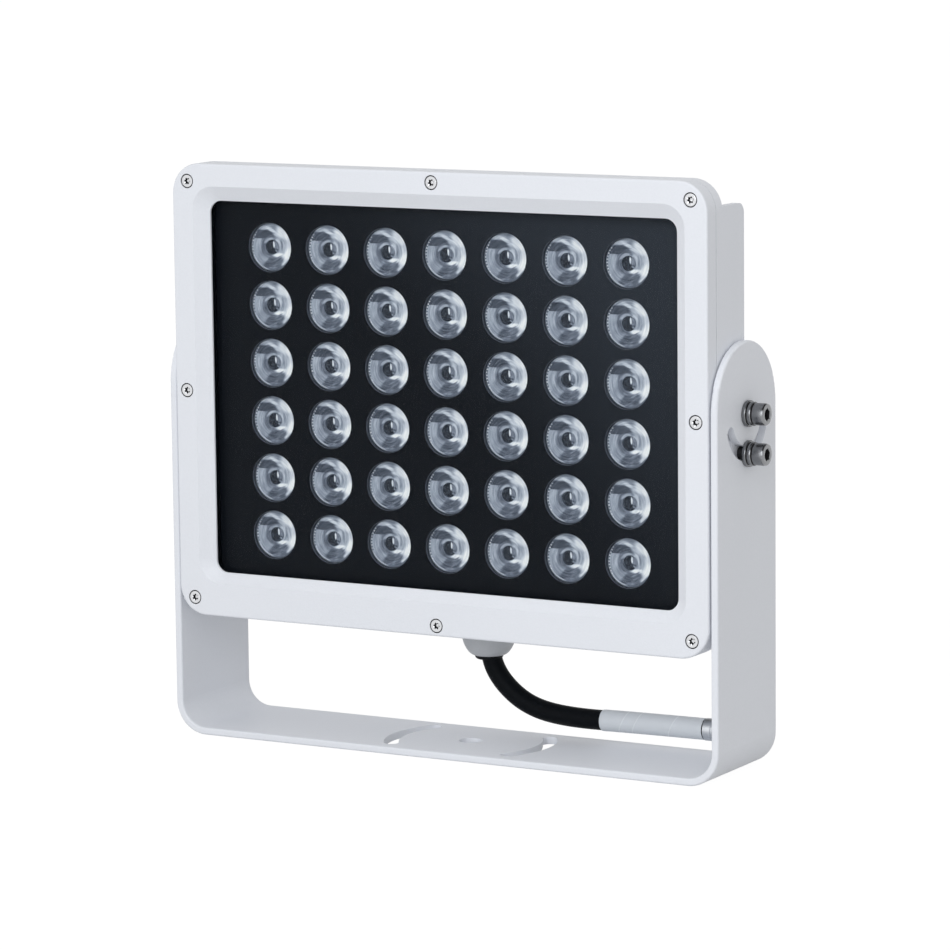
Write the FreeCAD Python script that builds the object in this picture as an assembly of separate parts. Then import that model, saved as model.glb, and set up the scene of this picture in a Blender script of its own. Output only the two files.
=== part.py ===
import FreeCAD, Part
import math
import os

from FreeCAD import Vector

# Frame: millimetres, +X to the right, +Y to the back, +Z up.
# Origin: centre of the bracket's centre hole, on the bracket's underside.
# The lamp looks along -Y and tilts about the X-parallel pivot axis through (0, 0, PIVOT_HEIGHT).

# Bracket, one folded strip of sheet steel
STRIP_WIDTH = 60.0
SHEET = 3.5
BEND_RADIUS = 12.0
EDGE_RADIUS = 1.0
PIVOT_HEIGHT = 165.0
ARM_ROUND_RISE = 2.6
CENTRE_HOLE = 11.0
BASE_SLOT_RADIUS = 37.0
BASE_SLOT_WIDTH = 7.0
BASE_SLOT_HALF_ANGLE = 33.5
TILT_SLOT_WIDTH = 6.8
TILT_SLOT_HALF_ANGLE = 65.0

# Head outline and place: the frame's width outside the window opening
FRAME_SIDE = 17.3
FRAME_END = 18.8
HEAD_CORNER = 14.0
HEAD_DROP = 0.85
SIDE_GAP = 0.6

# Window opening, which lies this far outside the outer lens centres, and the bevel round it
WINDOW_BORDER_X = 28.5
WINDOW_BORDER_Z = 20.1
WINDOW_RISE = 1.4
WINDOW_CORNER = 6.0
BEVEL_SIDE = 6.3
BEVEL_TOP = 7.0
BEVEL_BOTTOM = 4.7
BEVEL_CORNER = 11.0

# Depths along Y, from the flange's front face backwards or forwards
FLANGE_FRONT = -22.0
PARTING_GAP = 0.4
BEZEL_DEPTH = 8.6
BEVEL_DEPTH = 5.2
LIP = 1.0
GASKET = 0.5
GLASS = 3.0
GLASS_MARGIN = 4.0
GLASS_FIT = 0.4
GLASS_BACK_GAP = 0.2
FLANGE_DEPTH = 6.2
PANEL_RECESS = 2.5
PANEL = 1.5
PANEL_RIM = 1.0
PANEL_FIT = 0.4
LEDGE = 2.5
BASE_PLATE = 4.0
TUB_WALL = 4.0

# Light sources: columns along X, rows along Z
LENS_COLUMNS = 7
LENS_ROWS = 6
PITCH_X = 31.0
PITCH_Z = 27.0
LENS_HOLE = 22.8
LENS_MOUTH = 21.2
LENS_RIM = 1.0
LENS_FOOT = 10.4
LENS_DEPTH = 12.8
LENS_GAP = 0.1
LENS_CAVITY = 7.0
LENS_CAVITY_DEPTH = 6.5
LED_SIDE = 3.5
LED_BASE = 0.8
LED_DOME = 1.4
BOARD = 1.6
BOARD_BORDER = 11.0

# Fins on the back of the housing
FIN_PITCH = 9.5
FIN_ROOT = 2.8
FIN_TIP = 1.8
FIN_CORNER = 5.0
FIN_FIRST = 7.0
END_FIN_DROP = 12.0
END_FIN = 3.5
END_FIN_BACK = 5.8
FIN_SLOPE = 0.42
FIN_MAX_BACK = 28.0

# Driver compartment behind the base plate
BOX_HALF_WIDTH = 60.0
BOX_HEIGHT = 150.0
BOX_MARGIN = 8.4
BOX_BACK = 36.5
BOX_WALL = 3.0
BOX_CORNER = 8.0
BOX_POST = 4.5
COVER_SEAL = 1.0
COVER = 3.0

# Side pads and the bolts that clamp the arms to them
PAD_STAND = 0.5
PAD_FRONT = 8.5
PAD_BACK = 21.0
PAD_CORNER = 3.0
PAD_ABOVE = 10.0
PAD_BELOW = 28.0
LOCK_RADIUS = 18.0
BOLT = 6.0
BOLT_LENGTH = 16.0
BOLT_HEAD = 10.0
BOLT_HEAD_HEIGHT = 6.0
BOLT_SOCKET = 5.0
BOLT_SOCKET_DEPTH = 3.0
BOLT_EDGE = 0.6
PIVOT_PLAY = 0.1
SCREW_PLAY = 0.3
THREAD_PLAY = 0.05
DRILL_END = 0.5
WASHER = 12.0
WASHER_HOLE = 6.4
WASHER_THICKNESS = 1.8
WASHER_GAP = 0.1
SPRING_WASHER = 10.8
SPRING_WASHER_HOLE = 6.3
SPRING_WASHER_THICKNESS = 2.2
SPRING_WASHER_SPLIT = 1.2
SPRING_WASHER_SLANT = 25.0

# Small screws: bezel, cover and boards
SCREW = 3.0
SCREW_HEAD = 6.0
SCREW_HEAD_HEIGHT = 2.2
SCREW_EDGE = 0.7
SCREW_DRIVE = 2.6
SCREW_DRIVE_DEPTH = 1.2
SCREW_RECESS = 6.8
SCREW_RECESS_DEPTH = 3.85
BEZEL_SCREW_LENGTH = 10.0
CORNER_INSET_X = 8.2
CORNER_INSET_Z = 8.3
SIDE_INSET = 6.0
END_INSET = 4.9
SEAL_OFFSET_X = 2.1
SEAL_OFFSET_Z = 4.4
SEAL_SIDE = 1.6
SEAL_CORNER = 9.0
SEAL_FIT = 0.1
COVER_SCREW_LENGTH = 8.0
BOARD_SCREW_LENGTH = 4.5

# Cable gland on the underside of the driver compartment
GLAND_Y = 18.5
GLAND_BOSS = 26.0
GLAND_BOSS_LENGTH = 6.0
GLAND_THREAD = 18.6
GLAND_HEX = 22.0
GLAND_HEX_LENGTH = 5.5
GLAND_SPIGOT = 18.0
GLAND_SPIGOT_LENGTH = 8.5
GLAND_NUT = 24.0
GLAND_NUT_GAP = 0.3
GLAND_NUT_CYLINDER = 3.7
GLAND_DOME = 9.8
GLAND_MOUTH = 14.2
DOME_BULGE_OUT = 0.68
DOME_BULGE_UP = 0.38
BUSH = 13.8
BUSH_PROUD = 2.2
BUSH_INSIDE = 9.0
BUSH_LIP = 11.8
BUSH_BULGE_OUT = 0.9
BUSH_BULGE_DOWN = 0.65
GLAND_FIT = 0.2

# Cable, its sleeve and its end fitting
CABLE = 9.4
CABLE_FIT = 0.1
CABLE_MOUTH_FLARE = 0.85
GLAND_BORE_PLAY = 0.5
CABLE_ROUTE = [
    (0.0, 52.8),
    (0.0, 36.6),
    (8.6, 22.3),
    (25.0, 14.9),
    (45.0, 14.1),
    (80.0, 14.6),
    (114.0, 14.8),
]
SLEEVE_START = 57.0
SLEEVE_END = 110.0
SLEEVE_FIT = 0.05
SLEEVE_WALL = 0.25
FERRULE_LENGTH = 20.0
FERRULE_OVERLAP = 3.5
FERRULE_FIT = 0.05
FERRULE_WALL = 0.45
FERRULE_EDGE = 1.0
CORES = 3
CORE = 2.2
CORE_CIRCLE = 4.0

# Driver board and what stands on it
DRIVER_POST = 6.0
DRIVER_HALF_WIDTH = 48.0
DRIVER_LOW = 14.0
DRIVER_HIGH = 10.0
DRIVER_SCREW_INSET = 5.0
POST = 7.0
TERMINAL_WIDTH = 24.0
TERMINAL_HEIGHT = 12.0
TERMINAL_DEPTH = 15.0
TRANSFORMER_WIDTH = 34.0
TRANSFORMER_HEIGHT = 26.0
TRANSFORMER_DEPTH = 21.0
TRANSFORMER_FEET = 2.0
WINDING_WIDTH = 17.0
WINDING_PROUD = 4.0
WINDING_DEPTH = 24.0
CAPACITOR = 12.5
CAPACITOR_LENGTH = 22.0
CAPACITOR_SIDE = 34.0
CAPACITOR_RISE = 12.5
CHOKE = 20.0
CHOKE_HOLE = 8.0
CHOKE_DEPTH = 9.0
CHOKE_GAP = 12.0
LEAD = 2.0
LEAD_SPACING = 3.0
LEAD_FIT = 0.1
GROMMET = 12.0
GROMMET_HOLE = 8.4
GROMMET_LIP = 1.0
GROMMET_FIT = 0.05

# Construction values: overlap of fused pieces, overrun of cutting ones, bend share of a run
MERGE = 0.5
OVERRUN = 1.0
NEAR = 0.01
BEND_SHARE = 0.45

# Planes and centres that follow from the sizes above
HEAD_Z = PIVOT_HEIGHT - HEAD_DROP
WINDOW_Z = HEAD_Z + WINDOW_RISE
WINDOW_HALF_WIDTH = (LENS_COLUMNS - 1) / 2 * PITCH_X + WINDOW_BORDER_X
WINDOW_HALF_HEIGHT = (LENS_ROWS - 1) / 2 * PITCH_Z + WINDOW_BORDER_Z
HEAD_HALF_WIDTH = WINDOW_HALF_WIDTH + FRAME_SIDE
HEAD_HALF_HEIGHT = WINDOW_HALF_HEIGHT + FRAME_END
SCREW_CORNER_X = HEAD_HALF_WIDTH - CORNER_INSET_X
SCREW_CORNER_Z = HEAD_HALF_HEIGHT - CORNER_INSET_Z
SCREW_SIDE_X = HEAD_HALF_WIDTH - SIDE_INSET
SCREW_MID_Z = HEAD_HALF_HEIGHT - END_INSET
ARM_INNER = HEAD_HALF_WIDTH + SIDE_GAP
ARM_OUTER = ARM_INNER + SHEET
BEZEL_BACK = FLANGE_FRONT - PARTING_GAP
BEZEL_FRONT = BEZEL_BACK - BEZEL_DEPTH
LIP_FRONT = BEZEL_FRONT + BEVEL_DEPTH
LIP_BACK = LIP_FRONT + LIP
GLASS_FRONT = LIP_BACK + GASKET
GLASS_BACK = GLASS_FRONT + GLASS
GLASS_HALF_WIDTH = WINDOW_HALF_WIDTH + GLASS_MARGIN
GLASS_HALF_HEIGHT = WINDOW_HALF_HEIGHT + GLASS_MARGIN
SEAL_X = GLASS_HALF_WIDTH + SEAL_OFFSET_X
SEAL_Z = GLASS_HALF_HEIGHT + SEAL_OFFSET_Z
SEAT_FLOOR = GLASS_BACK + GLASS_BACK_GAP
FLANGE_BACK = FLANGE_FRONT + FLANGE_DEPTH
PANEL_FRONT = FLANGE_FRONT + PANEL_RECESS
PANEL_BACK = PANEL_FRONT + PANEL
PANEL_HALF_WIDTH = WINDOW_HALF_WIDTH + LEDGE - PANEL_FIT
PANEL_HALF_HEIGHT = WINDOW_HALF_HEIGHT + LEDGE - PANEL_FIT
BOARD_FRONT = PANEL_BACK + LENS_GAP + LENS_DEPTH
BASE_FRONT = BOARD_FRONT + BOARD
BASE_BACK = BASE_FRONT + BASE_PLATE
TUB_HALF_WIDTH = WINDOW_HALF_WIDTH + TUB_WALL
TUB_HALF_HEIGHT = WINDOW_HALF_HEIGHT + TUB_WALL
BOX_BOTTOM = HEAD_Z - HEAD_HALF_HEIGHT + BOX_MARGIN
BOX_TOP = BOX_BOTTOM + BOX_HEIGHT
BOX_Z = (BOX_BOTTOM + BOX_TOP) / 2
BOX_HALF_HEIGHT = (BOX_TOP - BOX_BOTTOM) / 2
DRIVER_BACK = BASE_BACK + DRIVER_POST
DRIVER_FACE = DRIVER_BACK + BOARD
DRIVER_BOTTOM = BOX_BOTTOM + DRIVER_LOW
DRIVER_TOP = BOX_TOP - DRIVER_HIGH
CHOKE_Z = DRIVER_BOTTOM + TERMINAL_HEIGHT + CHOKE_GAP + CHOKE / 2
TRANSFORMER_Z = CHOKE_Z + CHOKE / 2 + WINDING_PROUD + TRANSFORMER_HEIGHT / 2
FIN_TOP = WINDOW_Z + TUB_HALF_HEIGHT
FIN_BOTTOM = WINDOW_Z - TUB_HALF_HEIGHT
END_FIN_HALF_HEIGHT = HEAD_HALF_HEIGHT - END_FIN_DROP
BOSS_BOTTOM = BOX_BOTTOM - GLAND_BOSS_LENGTH
SPIGOT_TOP = BOSS_BOTTOM - GLAND_HEX_LENGTH
SPIGOT_BOTTOM = SPIGOT_TOP - GLAND_SPIGOT_LENGTH
NUT_TOP = SPIGOT_TOP - GLAND_NUT_GAP
NUT_SHOULDER = NUT_TOP - GLAND_NUT_CYLINDER
NUT_BOTTOM = NUT_SHOULDER - GLAND_DOME
BUSH_BOTTOM = NUT_BOTTOM - BUSH_PROUD
BUSH_TOP = NUT_BOTTOM + BUSH_INSIDE
COVER_FRONT = BOX_BACK + COVER_SEAL
COVER_BACK = COVER_FRONT + COVER
SPRING_X = ARM_OUTER + WASHER_GAP + WASHER_THICKNESS
BOLT_HEAD_X = SPRING_X + SPRING_WASHER_THICKNESS
LOCK_Z = PIVOT_HEIGHT - LOCK_RADIUS


def rounded_outline(half_width, half_height, radius, y, centre_z, centre_x=0.0):
    """Closed rounded rectangle in the plane y, anticlockwise seen from the front."""
    left, right = centre_x - half_width, centre_x + half_width
    low, high = centre_z - half_height, centre_z + half_height
    diagonal = radius * (1 - math.sqrt(0.5))
    corners = [
        ((right - radius, low), (right - diagonal, low + diagonal), (right, low + radius)),
        ((right, high - radius), (right - diagonal, high - diagonal), (right - radius, high)),
        ((left + radius, high), (left + diagonal, high - diagonal), (left, high - radius)),
        ((left, low + radius), (left + diagonal, low + diagonal), (left + radius, low)),
    ]
    edges = []
    for index, corner in enumerate(corners):
        start, middle, end = [Vector(x, y, z) for x, z in corner]
        after = corners[(index + 1) % 4][0]
        edges.append(Part.Arc(start, middle, end).toShape())
        edges.append(Part.makeLine(end, Vector(after[0], y, after[1])))
    return Part.Wire(edges)


def rounded_block(half_width, half_height, radius, front, back, centre_z, centre_x=0.0):
    """Rounded rectangle, extruded along Y from front to back."""
    outline = rounded_outline(half_width, half_height, radius, front, centre_z, centre_x)
    return Part.Face(outline).extrude(Vector(0, back - front, 0))


def block(x0, x1, y0, y1, z0, z1):
    return Part.makeBox(x1 - x0, y1 - y0, z1 - z0, Vector(x0, y0, z0))


def rod(diameter, start, end):
    """Round bar between two points."""
    start, end = Vector(*start), Vector(*end)
    return Part.makeCylinder(diameter / 2, (end - start).Length, start, end - start)


def turned(profile, start, direction):
    """Solid turned about direction through start; profile holds (radius, distance) points."""
    points = [Vector(radius, 0, distance) for radius, distance in profile]
    face = Part.Face(Part.makePolygon(points + points[:1]))
    solid = face.revolve(Vector(0, 0, 0), Vector(0, 0, 1), 360)
    return placed(solid, start, direction)


def placed(shape, start, direction):
    """Copy of a shape made along +Z, moved to start and turned to direction."""
    copy = shape.copy()
    turn = FreeCAD.Rotation(Vector(0, 0, 1), Vector(*direction))
    copy.Placement = FreeCAD.Placement(Vector(*start), turn)
    return copy


def hexagon(across_flats, length):
    """Hexagonal bar along +Z from the origin."""
    radius = across_flats / math.sqrt(3)
    points = [Vector(radius * math.cos(math.radians(60 * i)), radius * math.sin(math.radians(60 * i)), 0)
              for i in range(7)]
    return Part.Face(Part.makePolygon(points)).extrude(Vector(0, 0, length))


def arc_slot(radius, width, half_angle, depth):
    """Curved slot about the origin in the XY plane, centred on +X, extruded along +Z."""
    def point(distance, angle):
        return Vector(distance * math.cos(math.radians(angle)), distance * math.sin(math.radians(angle)), 0)

    outer, inner = radius + width / 2, radius - width / 2
    end_angle = half_angle + math.degrees(width / 2 / radius)
    edges = [
        Part.Arc(point(outer, -half_angle), point(outer, 0), point(outer, half_angle)).toShape(),
        Part.Arc(point(outer, half_angle), point(radius, end_angle), point(inner, half_angle)).toShape(),
        Part.Arc(point(inner, half_angle), point(inner, 0), point(inner, -half_angle)).toShape(),
        Part.Arc(point(inner, -half_angle), point(radius, -end_angle), point(outer, -half_angle)).toShape(),
    ]
    return Part.Face(Part.Wire(edges)).extrude(Vector(0, 0, depth))


def group(shapes):
    """Several separate solids kept in one node."""
    solids = []
    for shape in shapes:
        solids.extend(shape.Solids)
    return Part.makeCompound(solids)


def folded_strip():
    """U of sheet with two bends, standing on its web."""
    top = PIVOT_HEIGHT + ARM_ROUND_RISE + STRIP_WIDTH / 2
    outer_radius = BEND_RADIUS + SHEET

    def side(x, bottom, radius):
        corner = Vector(x - radius * (1 - math.sqrt(0.5)), 0, bottom + radius * (1 - math.sqrt(0.5)))
        right = Part.Arc(Vector(x - radius, 0, bottom), corner, Vector(x, 0, bottom + radius)).toShape()
        left = right.mirror(Vector(0, 0, 0), Vector(1, 0, 0))
        return [
            Part.makeLine(Vector(-x + radius, 0, bottom), Vector(x - radius, 0, bottom)),
            right,
            left,
            Part.makeLine(Vector(x, 0, bottom + radius), Vector(x, 0, top)),
            Part.makeLine(Vector(-x, 0, bottom + radius), Vector(-x, 0, top)),
        ]

    edges = side(ARM_OUTER, 0, outer_radius) + side(ARM_INNER, SHEET, BEND_RADIUS)
    for sign in (-1, 1):
        edges.append(Part.makeLine(Vector(sign * ARM_INNER, 0, top), Vector(sign * ARM_OUTER, 0, top)))
    profile = Part.Face(Part.Wire(Part.__sortEdges__(edges)))
    profile.translate(Vector(0, -STRIP_WIDTH / 2, 0))
    return profile.extrude(Vector(0, STRIP_WIDTH, 0))


def arm_outline():
    """Side view of the bracket, as a prism across X: straight edges and a round top."""
    half = STRIP_WIDTH / 2
    centre = PIVOT_HEIGHT + ARM_ROUND_RISE
    across = -ARM_OUTER - OVERRUN
    edges = [
        Part.makeLine(Vector(across, half, centre), Vector(across, half, -OVERRUN)),
        Part.makeLine(Vector(across, half, -OVERRUN), Vector(across, -half, -OVERRUN)),
        Part.makeLine(Vector(across, -half, -OVERRUN), Vector(across, -half, centre)),
        Part.Arc(Vector(across, -half, centre), Vector(across, 0, centre + half),
                 Vector(across, half, centre)).toShape(),
    ]
    return Part.Face(Part.Wire(edges)).extrude(Vector(-2 * across, 0, 0))


def mounting_bracket():
    body = folded_strip().common(arm_outline())
    half = STRIP_WIDTH / 2
    rim = [edge for edge in body.Edges
           if abs(abs(edge.CenterOfMass.y) - half) < NEAR or edge.CenterOfMass.z > PIVOT_HEIGHT + half / 2]
    body = body.makeFillet(EDGE_RADIUS, rim)
    holes = [rod(CENTRE_HOLE, (0, 0, -OVERRUN), (0, 0, SHEET + OVERRUN))]
    base_slot = arc_slot(BASE_SLOT_RADIUS, BASE_SLOT_WIDTH, BASE_SLOT_HALF_ANGLE, SHEET + 2 * OVERRUN)
    base_slot.translate(Vector(0, 0, -OVERRUN))
    holes.append(base_slot)
    holes.append(base_slot.mirror(Vector(0, 0, 0), Vector(1, 0, 0)))
    tilt_slot = arc_slot(LOCK_RADIUS, TILT_SLOT_WIDTH, TILT_SLOT_HALF_ANGLE, SHEET + 2 * OVERRUN)
    tilt_slot.rotate(Vector(0, 0, 0), Vector(0, 1, 0), 90)
    for start in (ARM_INNER - OVERRUN, -ARM_OUTER - OVERRUN):
        end = start + SHEET + 2 * OVERRUN
        holes.append(rod(BOLT + 2 * PIVOT_PLAY, (start, 0, PIVOT_HEIGHT), (end, 0, PIVOT_HEIGHT)))
        slot = tilt_slot.copy()
        slot.translate(Vector(start, 0, PIVOT_HEIGHT))
        holes.append(slot)
    return body.cut(holes)


def bezel_screw_places():
    corners = [(x, z) for x in (-SCREW_CORNER_X, SCREW_CORNER_X) for z in (-SCREW_CORNER_Z, SCREW_CORNER_Z)]
    middles = [(-SCREW_SIDE_X, 0), (SCREW_SIDE_X, 0), (0, -SCREW_MID_Z), (0, SCREW_MID_Z)]
    return [(x, HEAD_Z + z) for x, z in corners + middles]


def bevelled_opening():
    """Sloping faces from the bezel's front down to the window's lip, as a solid to cut away."""
    top = WINDOW_Z + WINDOW_HALF_HEIGHT + BEVEL_TOP
    bottom = WINDOW_Z - WINDOW_HALF_HEIGHT - BEVEL_BOTTOM
    outer = rounded_outline(WINDOW_HALF_WIDTH + BEVEL_SIDE, (top - bottom) / 2, BEVEL_CORNER,
                            BEZEL_FRONT, (top + bottom) / 2)
    inner = rounded_outline(WINDOW_HALF_WIDTH, WINDOW_HALF_HEIGHT, WINDOW_CORNER, LIP_FRONT, WINDOW_Z)
    return Part.makeLoft([outer, inner], True, True)


def front_bezel():
    body = rounded_block(HEAD_HALF_WIDTH, HEAD_HALF_HEIGHT, HEAD_CORNER, BEZEL_FRONT, BEZEL_BACK, HEAD_Z)
    front = [edge for edge in body.Edges if abs(edge.CenterOfMass.y - BEZEL_FRONT) < NEAR]
    body = body.makeFillet(EDGE_RADIUS, front)
    cuts = [
        bevelled_opening(),
        rounded_block(WINDOW_HALF_WIDTH, WINDOW_HALF_HEIGHT, WINDOW_CORNER,
                      LIP_FRONT - MERGE, BEZEL_BACK, WINDOW_Z),
        rounded_block(GLASS_HALF_WIDTH + GLASS_FIT, GLASS_HALF_HEIGHT + GLASS_FIT, WINDOW_CORNER,
                      LIP_BACK, BEZEL_BACK + OVERRUN, WINDOW_Z),
    ]
    for x, z in bezel_screw_places():
        seat = BEZEL_FRONT + SCREW_RECESS_DEPTH
        cuts.append(rod(SCREW_RECESS, (x, BEZEL_FRONT - OVERRUN, z), (x, seat, z)))
        cuts.append(rod(SCREW + 2 * SCREW_PLAY, (x, BEZEL_FRONT, z), (x, BEZEL_BACK + OVERRUN, z)))
    return body.cut(cuts)


def window_gasket():
    """Flat ring between the bezel's lip and the glass."""
    outer = rounded_block(GLASS_HALF_WIDTH, GLASS_HALF_HEIGHT, WINDOW_CORNER,
                          LIP_BACK, GLASS_FRONT, WINDOW_Z)
    hole = rounded_block(WINDOW_HALF_WIDTH + GLASS_FIT, WINDOW_HALF_HEIGHT + GLASS_FIT, WINDOW_CORNER,
                         LIP_BACK - OVERRUN, GLASS_FRONT + OVERRUN, WINDOW_Z)
    return outer.cut(hole)


def front_window():
    return rounded_block(GLASS_HALF_WIDTH, GLASS_HALF_HEIGHT, WINDOW_CORNER,
                         GLASS_FRONT, GLASS_BACK, WINDOW_Z)


def seal_ring(extra, back):
    """Ring that runs inside the bezel screws; extra widens the section on each side."""
    half = SEAL_SIDE / 2 + extra
    outer = rounded_block(SEAL_X + half, SEAL_Z + half, SEAL_CORNER + half, BEZEL_BACK, back, HEAD_Z)
    inner = rounded_block(SEAL_X - half, SEAL_Z - half, SEAL_CORNER - half,
                          BEZEL_BACK - OVERRUN, back + OVERRUN, HEAD_Z)
    return outer.cut(inner)


def housing_seal():
    return seal_ring(0, BEZEL_BACK + SEAL_SIDE)


def lens_centres(row):
    """Centres of one row of light sources, left to right; row 0 is the top one."""
    z = HEAD_Z + ((LENS_ROWS - 1) / 2 - row) * PITCH_Z
    return [((column - (LENS_COLUMNS - 1) / 2) * PITCH_X, z) for column in range(LENS_COLUMNS)]


def lens_panel():
    """Black moulded plate with a raised rim and one hole for each lens."""
    body = rounded_block(PANEL_HALF_WIDTH, PANEL_HALF_HEIGHT, WINDOW_CORNER,
                         SEAT_FLOOR, PANEL_BACK, WINDOW_Z)
    inside = rounded_block(PANEL_HALF_WIDTH - PANEL_RIM, PANEL_HALF_HEIGHT - PANEL_RIM,
                           WINDOW_CORNER - PANEL_RIM, SEAT_FLOOR - OVERRUN, PANEL_FRONT, WINDOW_Z)
    cuts = [inside]
    for row in range(LENS_ROWS):
        for x, z in lens_centres(row):
            cuts.append(rod(LENS_HOLE, (x, PANEL_FRONT - OVERRUN, z), (x, PANEL_BACK + OVERRUN, z)))
    return body.cut(cuts)


def lens_row(row):
    """Cone lenses: a short rim behind the panel's hole, a tapered body and a hollow foot over the source."""
    profile = [
        (0, 0), (LENS_MOUTH / 2, 0), (LENS_MOUTH / 2, LENS_RIM), (LENS_FOOT / 2, LENS_DEPTH),
        (LENS_CAVITY / 2, LENS_DEPTH), (LENS_CAVITY / 2, LENS_DEPTH - LENS_CAVITY_DEPTH),
        (0, LENS_DEPTH - LENS_CAVITY_DEPTH),
    ]
    return group([turned(profile, (x, PANEL_BACK + LENS_GAP, z), (0, 1, 0)) for x, z in lens_centres(row)])


def led_row(row):
    sources = []
    for x, z in lens_centres(row):
        half = LED_SIDE / 2
        base = block(x - half, x + half, BOARD_FRONT - LED_BASE, BOARD_FRONT, z - half, z + half)
        dome = Part.makeSphere(LED_DOME, Vector(x, BOARD_FRONT - LED_BASE, z), Vector(0, -1, 0), 0, 90, 360)
        sources.append(base.fuse(dome))
    return group(sources)


def board_screw_places():
    """Gaps between four lenses where the board is held down."""
    far = (LENS_COLUMNS - 2) / 2 * PITCH_X
    near = PITCH_X / 2
    high = (LENS_ROWS - 2) / 2 * PITCH_Z
    places = [(-far, high), (far, high), (-far, -high), (far, -high), (-near, 0), (near, 0)]
    return [(x, HEAD_Z + z) for x, z in places]


def led_board():
    half_width = (LENS_COLUMNS - 1) / 2 * PITCH_X + BOARD_BORDER
    half_height = (LENS_ROWS - 1) / 2 * PITCH_Z + BOARD_BORDER
    body = rounded_block(half_width, half_height, WINDOW_CORNER, BOARD_FRONT, BASE_FRONT, HEAD_Z)
    return body.cut([rod(SCREW + 2 * THREAD_PLAY, (x, BOARD_FRONT - OVERRUN, z), (x, BASE_FRONT + OVERRUN, z))
                     for x, z in board_screw_places()])


def small_screw(x, y, z, length, direction):
    """Low round head with a driver recess; the head's seat is at (x, y, z)."""
    rim = SCREW_HEAD / 2
    profile = [
        (0, -length), (SCREW / 2, -length), (SCREW / 2, 0), (rim, 0),
        (rim, SCREW_HEAD_HEIGHT - SCREW_EDGE), (rim - SCREW_EDGE, SCREW_HEAD_HEIGHT), (0, SCREW_HEAD_HEIGHT),
    ]
    body = turned(profile, (0, 0, 0), (0, 0, 1))
    drive = hexagon(SCREW_DRIVE, SCREW_DRIVE_DEPTH + OVERRUN)
    drive.translate(Vector(0, 0, SCREW_HEAD_HEIGHT - SCREW_DRIVE_DEPTH))
    return placed(body.cut(drive), (x, y, z), direction)


def bezel_screws():
    seat = BEZEL_FRONT + SCREW_RECESS_DEPTH
    return group([small_screw(x, seat, z, BEZEL_SCREW_LENGTH, (0, -1, 0))
                  for x, z in bezel_screw_places()])


def board_screws():
    return group([small_screw(x, BOARD_FRONT, z, BOARD_SCREW_LENGTH, (0, -1, 0))
                  for x, z in board_screw_places()])


def fin_back(x):
    """How far back the fin at x reaches: deeper towards the middle of the housing."""
    return min(END_FIN_BACK + (HEAD_HALF_WIDTH - abs(x)) * FIN_SLOPE, FIN_MAX_BACK)


def fin(x, back, bottom, top):
    """Upright cast fin: thicker at its root, rounded at its two free corners."""
    start = BASE_BACK - MERGE
    corners = [(-FIN_ROOT / 2, start), (FIN_ROOT / 2, start), (FIN_TIP / 2, back), (-FIN_TIP / 2, back)]
    points = [Vector(x + across, y, bottom) for across, y in corners]
    body = Part.Face(Part.makePolygon(points + points[:1])).extrude(Vector(0, 0, top - bottom))
    rear = [edge for edge in body.Edges
            if abs(edge.CenterOfMass.y - back) < NEAR and abs(edge.CenterOfMass.x - x) < NEAR]
    return body.makeFillet(FIN_CORNER, rear)


def fins():
    shapes = []
    step = BOX_HALF_WIDTH + FIN_FIRST
    while step < TUB_HALF_WIDTH - FIN_ROOT / 2:
        for x in (-step, step):
            shapes.append(fin(x, fin_back(x), FIN_BOTTOM, FIN_TOP))
        step += FIN_PITCH
    count = int(BOX_HALF_WIDTH // FIN_PITCH)
    for index in range(-count + 1, count):
        shapes.append(fin(index * FIN_PITCH, FIN_MAX_BACK, BOX_TOP - OVERRUN, FIN_TOP))
    return shapes


def end_fins():
    """Outer side plates of the housing, flush with the flange."""
    front = FLANGE_FRONT + FLANGE_DEPTH / 2
    shapes = []
    for inner in (-HEAD_HALF_WIDTH, HEAD_HALF_WIDTH - END_FIN):
        plate = block(inner, inner + END_FIN, front, END_FIN_BACK,
                      HEAD_Z - END_FIN_HALF_HEIGHT, HEAD_Z + END_FIN_HALF_HEIGHT)
        rear = [edge for edge in plate.Edges
                if abs(edge.CenterOfMass.y - END_FIN_BACK) < NEAR
                and abs(edge.CenterOfMass.x - inner - END_FIN / 2) < NEAR]
        shapes.append(plate.makeFillet(FIN_CORNER, rear))
    return shapes


def side_pads():
    """Solid blocks that carry the bolts and close the view through the arms' slots; a little proud."""
    outer = HEAD_HALF_WIDTH + PAD_STAND
    inner = TUB_HALF_WIDTH - OVERRUN
    shapes = []
    for sign in (-1, 1):
        x0, x1 = sorted((sign * inner, sign * outer))
        pad = block(x0, x1, -PAD_FRONT, PAD_BACK, PIVOT_HEIGHT - PAD_BELOW, PIVOT_HEIGHT + PAD_ABOVE)
        rear = [edge for edge in pad.Edges if abs(edge.CenterOfMass.y - PAD_BACK) < NEAR]
        shapes.append(pad.makeFillet(PAD_CORNER, rear))
    return shapes


def box_post_places():
    """Screw posts inside the driver compartment."""
    x = BOX_HALF_WIDTH - BOX_WALL - BOX_POST / 2
    z = BOX_HALF_HEIGHT - BOX_WALL - BOX_POST / 2
    return [(i * x, BOX_Z + j * z) for i in (-1, 1) for j in (-1, 0, 1)]


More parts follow.
